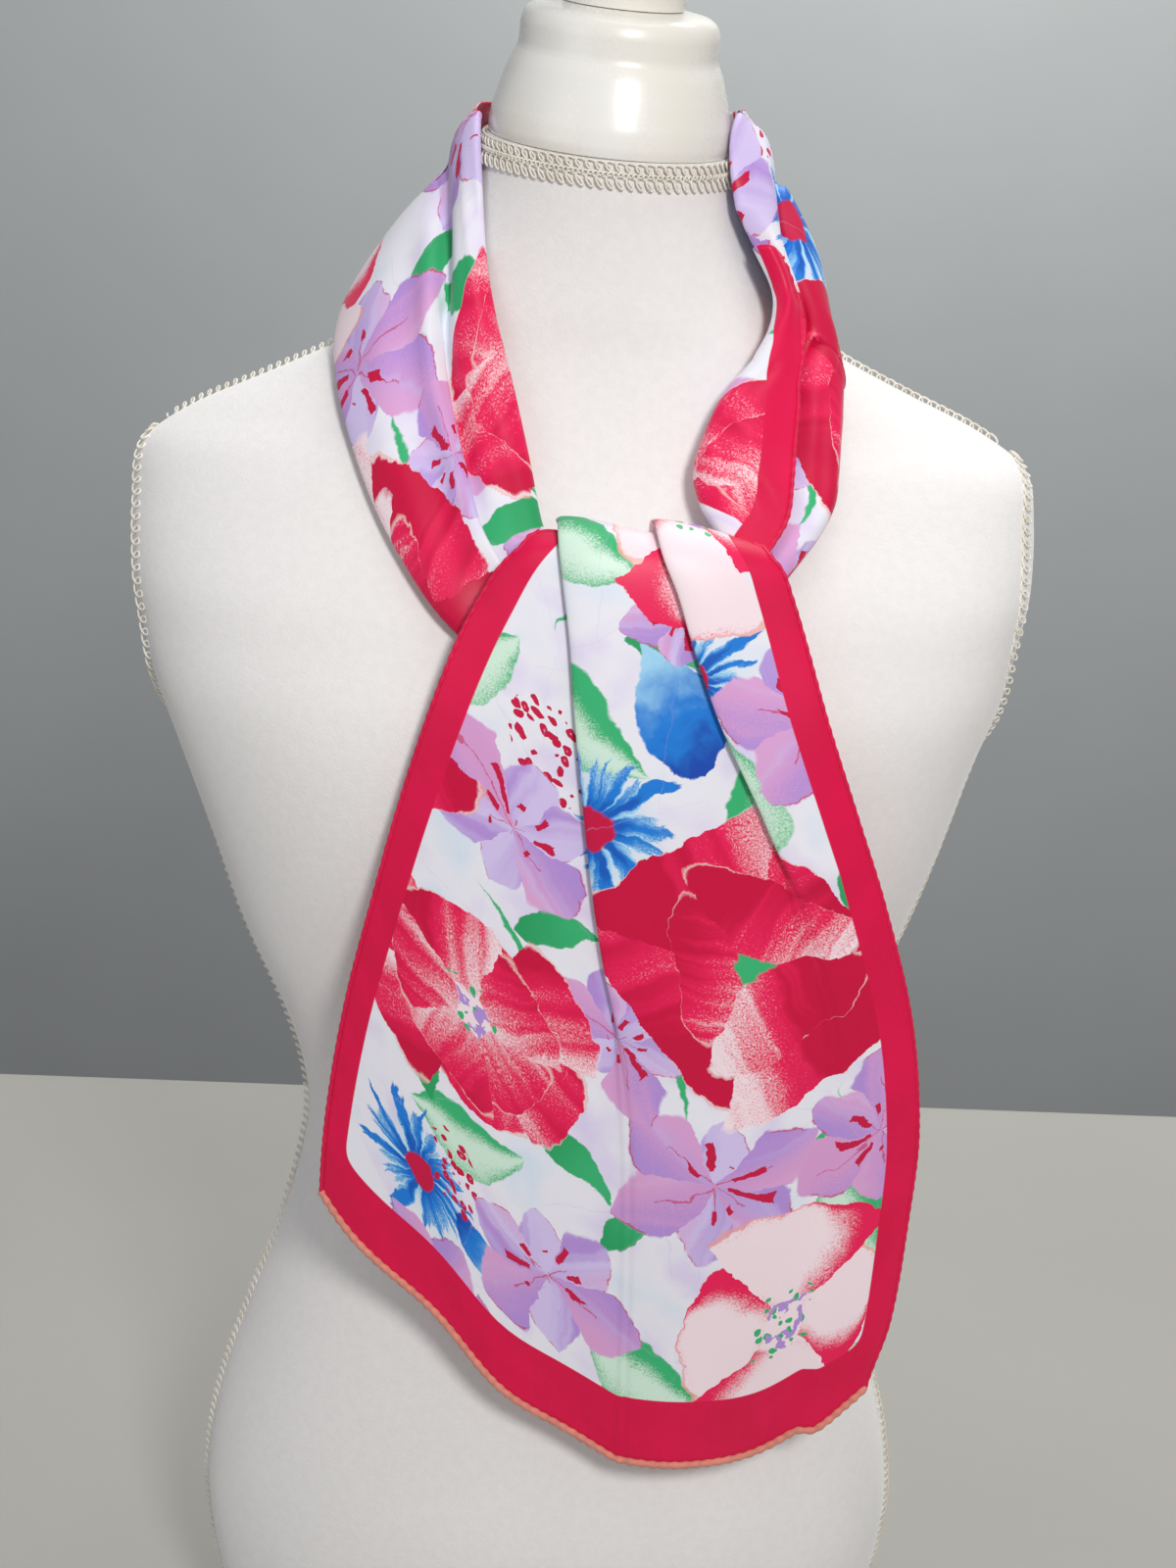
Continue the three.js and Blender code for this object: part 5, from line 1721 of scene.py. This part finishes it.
def make_under_tail(scarf):
    """The shorter end under the panel, with one hem down a side, along its end and up again."""
    grid = tail_grid()
    marks = mark_grid(grid, len(grid[0]) // 2, (0.125, 0.27), hanging_edges(grid))
    tail = cloth_piece("under_tail", grid, marks, scarf, "scarf_under_tail")
    crimson = plain_cloth("tail_hem_crimson", scarf.crimson)
    outline = [row[0] for row in grid] + grid[-1][1:] + [row[-1] for row in grid[-2::-1]]
    hem = hem_along("tail_hem", outline, scarf, crimson, TAIL_HEM_THICK)


def make_knot(scarf):
    """The gathered layers that cross inside the knot."""
    middle = (PANEL_PLACE + KNOT_MIDDLE.x * MM, 0.39)
    bm = bmesh.new()
    bmesh.ops.create_uvsphere(bm, u_segments=96, v_segments=48, radius=1)
    print_layer = bm.loops.layers.uv.new("print")
    edge_layer = bm.loops.layers.uv.new("edges")
    for vert in bm.verts:
        x, y, z = vert.co
        groove = KNOT_GROOVE * math.cos(KNOT_GATHERS * math.pi * x + 3 * z) * (1 - x * x)
        place = Vector((x, y, z)) * (1 - KNOT_GROOVE + groove)
        vert.co = (KNOT_MIDDLE + place * KNOT_HALF) * MM
    for face in bm.faces:
        for loop in face.loops:
            co = loop.vert.co - KNOT_MIDDLE * MM
            loop[print_layer].uv = (middle[0] + co.x, middle[1] + co.z - co.y)
            loop[edge_layer].uv = (FAR_FROM_EDGE, FAR_FROM_EDGE)
    mesh = mesh_from(bm, "knot_gathers")
    print_on(add_piece("knot_gathers", mesh, None, ["scarf_knot_core"]), scarf)


# ----------------------------------------------------------------------------------------------
# The stage
# ----------------------------------------------------------------------------------------------

# The camera, the table's far edge and the backdrop, in metres.
CAMERA_PLACE = (0.008, -0.893, 0.735)
CAMERA_DOWN = math.radians(17)
CAMERA_ROLL = math.radians(2.1)
CAMERA_LENS = 47.7
CAMERA_SENSOR = 36
TABLE_EDGE_Y = 0.67
TABLE_ROUND = 0.03
BACKDROP_Y = 2.2
STAGE_HALF = 3

# Each light's place, the point that it faces, its size, its share of the key light and its colour.
Lamp = namedtuple("Lamp", "name place aim size share colour")
LAMPS = (
    Lamp("key", (0.36, -1.32, 1.25), (0, 0, 0.5), 0.28, 1, (1, 0.99, 0.97)),
    Lamp("fill", (-1.3, -1.2, 0.9), (0, 0, 0.4), 1.2, 0.2, (0.93, 0.96, 1)),
    Lamp("top", (0.2, -0.1, 2.0), (0, 0, 0.3), 1.0, 0.3, (1, 1, 1)),
    Lamp("backdrop", (0.5, 1.1, 2.4), (0.2, 2.2, 0.5), 1.2, 3.4, (1, 1, 0.97)),
)
SURROUNDINGS = (0.93, 0.95, 1, 1)
SURROUNDINGS_STRENGTH = 0.32


def make_camera():
    camera = bpy.data.objects.new("camera", bpy.data.cameras.new("camera"))
    camera.data.lens = CAMERA_LENS
    camera.data.sensor_width = CAMERA_SENSOR
    camera.data.clip_start = 0.01
    turn = Matrix.Rotation(math.pi / 2 - CAMERA_DOWN, 4, "X") @ Matrix.Rotation(CAMERA_ROLL, 4, "Z")
    camera.matrix_world = Matrix.Translation(CAMERA_PLACE) @ turn
    bpy.context.scene.collection.objects.link(camera)
    bpy.context.scene.camera = camera


def plain_stage(name, colour):
    paint = Finish(name, roughness=0.9)
    place = paint.node("ShaderNodeTexCoord", {}, output=3)
    tone = paint.noise(place, 3, 3).ramp(0.3, 0.7)
    shaded = tuple(0.96 * part for part in colour)
    paint.finish("Base Color", paint.mix(tone, shaded, colour))
    return paint.material


def make_floor(stage, bends=12):
    """A pale table whose far edge rounds down, and a backdrop a good way behind it."""
    bm = bmesh.new()
    table = [(-STAGE_HALF, 0)]
    for i in range(bends + 1):
        angle = math.pi / 2 * i / bends
        y = TABLE_EDGE_Y + TABLE_ROUND * (math.sin(angle) - 1)
        table.append((y, TABLE_ROUND * (math.cos(angle) - 1)))
    table.append((TABLE_EDGE_Y, -STAGE_HALF))
    backdrop = [(BACKDROP_Y, STAGE_HALF), (BACKDROP_Y, -STAGE_HALF)]
    for profile in (table, backdrop):
        verts = [bm.verts.new((-STAGE_HALF, y, z)) for y, z in profile]
        edges = [bm.edges.new(pair) for pair in zip(verts, verts[1:])]
        made = bmesh.ops.extrude_edge_only(bm, edges=edges)
        moved = [item for item in made["geom"] if isinstance(item, bmesh.types.BMVert)]
        bmesh.ops.translate(bm, vec=(2 * STAGE_HALF, 0, 0), verts=moved)
    mesh = mesh_from(bm, "floor")
    mesh.materials.append(plain_stage("pale_floor", stage.floor))
    mesh.materials.append(plain_stage("pale_backdrop", stage.wall))
    for face in mesh.polygons:
        face.use_smooth = True
        face.material_index = int(face.center.y > TABLE_EDGE_Y + TABLE_ROUND)
    floor = bpy.data.objects.new("floor", mesh)
    bpy.context.scene.collection.objects.link(floor)


def make_lights(stage):
    """Round area lights, and the pale light of the surroundings."""
    for lamp in LAMPS:
        light = bpy.data.lights.new(lamp.name, "AREA")
        light.shape = "DISK"
        light.size = lamp.size
        light.energy = stage.key * lamp.share
        light.color = lamp.colour
        placed = bpy.data.objects.new(lamp.name, light)
        placed.location = lamp.place
        facing = Vector(lamp.aim) - Vector(lamp.place)
        placed.rotation_euler = facing.to_track_quat("-Z", "Y").to_euler()
        bpy.context.scene.collection.objects.link(placed)
    world = bpy.data.worlds.new("world")
    world.use_nodes = True
    background = world.node_tree.nodes["Background"]
    background.inputs["Color"].default_value = SURROUNDINGS
    background.inputs["Strength"].default_value = SURROUNDINGS_STRENGTH
    bpy.context.scene.world = world
    bpy.context.scene.view_settings.view_transform = "Standard"


# ----------------------------------------------------------------------------------------------
# Operators and panel
# ----------------------------------------------------------------------------------------------


class FORM_OT_torso(bpy.types.Operator):
    """Add the padded torso of the dress form"""

    bl_idname = "form.torso"
    bl_label = "Torso"

    def execute(self, context):
        make_torso(context.scene.form_settings)
        return {"FINISHED"}


class FORM_OT_neck(bpy.types.Operator):
    """Add the turned cap and finial on the neck"""

    bl_idname = "form.neck"
    bl_label = "Cap and finial"

    def execute(self, context):
        plastic = moulded_plastic(context.scene.form_settings)
        make_turned("cap", CAP_PROFILE, PIECE_GAP, plastic, "neck_cap")
        lift = CAP_PROFILE[-1][1] + 2 * PIECE_GAP
        make_turned("finial", FINIAL_PROFILE, lift, plastic, "neck_finial")
        return {"FINISHED"}


class FORM_OT_braids(bpy.types.Operator):
    """Add the looped cord braids that trim the form"""

    bl_idname = "form.braids"
    bl_label = "Braids"

    def execute(self, context):
        make_braids(context.scene.form_settings)
        return {"FINISHED"}


class SCARF_OT_knot(bpy.types.Operator):
    """Add the gathered layers inside the knot"""

    bl_idname = "scarf.knot"
    bl_label = "Knot"

    def execute(self, context):
        make_knot(context.scene.scarf_settings)
        return {"FINISHED"}


class SCARF_OT_neck_loop(bpy.types.Operator):
    """Add the four stretches that lie round the neck"""

    bl_idname = "scarf.neck_loop"
    bl_label = "Neck loop"

    def execute(self, context):
        make_neck_loop(context.scene.scarf_settings)
        return {"FINISHED"}


class SCARF_OT_under_tail(bpy.types.Operator):
    """Add the shorter end that hangs under the panel, with its hem"""

    bl_idname = "scarf.under_tail"
    bl_label = "Under tail"

    def execute(self, context):
        make_under_tail(context.scene.scarf_settings)
        return {"FINISHED"}


class SCARF_OT_front_panel(bpy.types.Operator):
    """Add the end that comes over the knot and hangs in front, with its hems"""

    bl_idname = "scarf.front_panel"
    bl_label = "Front panel"

    def execute(self, context):
        make_front_panel(context.scene.scarf_settings)
        return {"FINISHED"}


class STAGE_OT_stage(bpy.types.Operator):
    """Add the camera, the floor and the lights"""

    bl_idname = "stage.stage"
    bl_label = "Stage"

    def execute(self, context):
        stage = context.scene.stage_settings
        make_camera()
        make_floor(stage)
        make_lights(stage)
        return {"FINISHED"}


class VIEW3D_PT_scarf(bpy.types.Panel):
    """Lists the pieces and their settings"""

    bl_idname = "VIEW3D_PT_scarf"
    bl_label = "Scarf on a dress form"
    bl_space_type = "VIEW_3D"
    bl_region_type = "UI"
    bl_category = "Scarf"

    def draw(self, context):
        for settings in SETTINGS:
            group = getattr(context.scene, settings)
            box = self.layout.box()
            for name in group.__annotations__:
                box.prop(group, name)
        for operator in OPERATORS:
            self.layout.operator(operator.bl_idname)


OPERATORS = (
    STAGE_OT_stage, FORM_OT_torso, FORM_OT_neck, FORM_OT_braids,
    SCARF_OT_knot, SCARF_OT_neck_loop, SCARF_OT_under_tail, SCARF_OT_front_panel,
)
SETTINGS = {
    "form_settings": FormSettings,
    "scarf_settings": ScarfSettings,
    "stage_settings": StageSettings,
}


def register():
    for cls in (*SETTINGS.values(), *OPERATORS, VIEW3D_PT_scarf):
        bpy.utils.register_class(cls)
    for name, cls in SETTINGS.items():
        setattr(bpy.types.Scene, name, PointerProperty(type=cls))


def unregister():
    for name in SETTINGS:
        delattr(bpy.types.Scene, name)
    for cls in (VIEW3D_PT_scarf, *OPERATORS, *SETTINGS.values()):
        bpy.utils.unregister_class(cls)


def main():
    register()
    bpy.ops.stage.stage()
    bpy.ops.form.torso()
    bpy.ops.form.neck()
    bpy.ops.form.braids()
    bpy.ops.scarf.knot()
    bpy.ops.scarf.neck_loop()
    bpy.ops.scarf.under_tail()
    bpy.ops.scarf.front_panel()


if __name__ == "__main__":
    main()
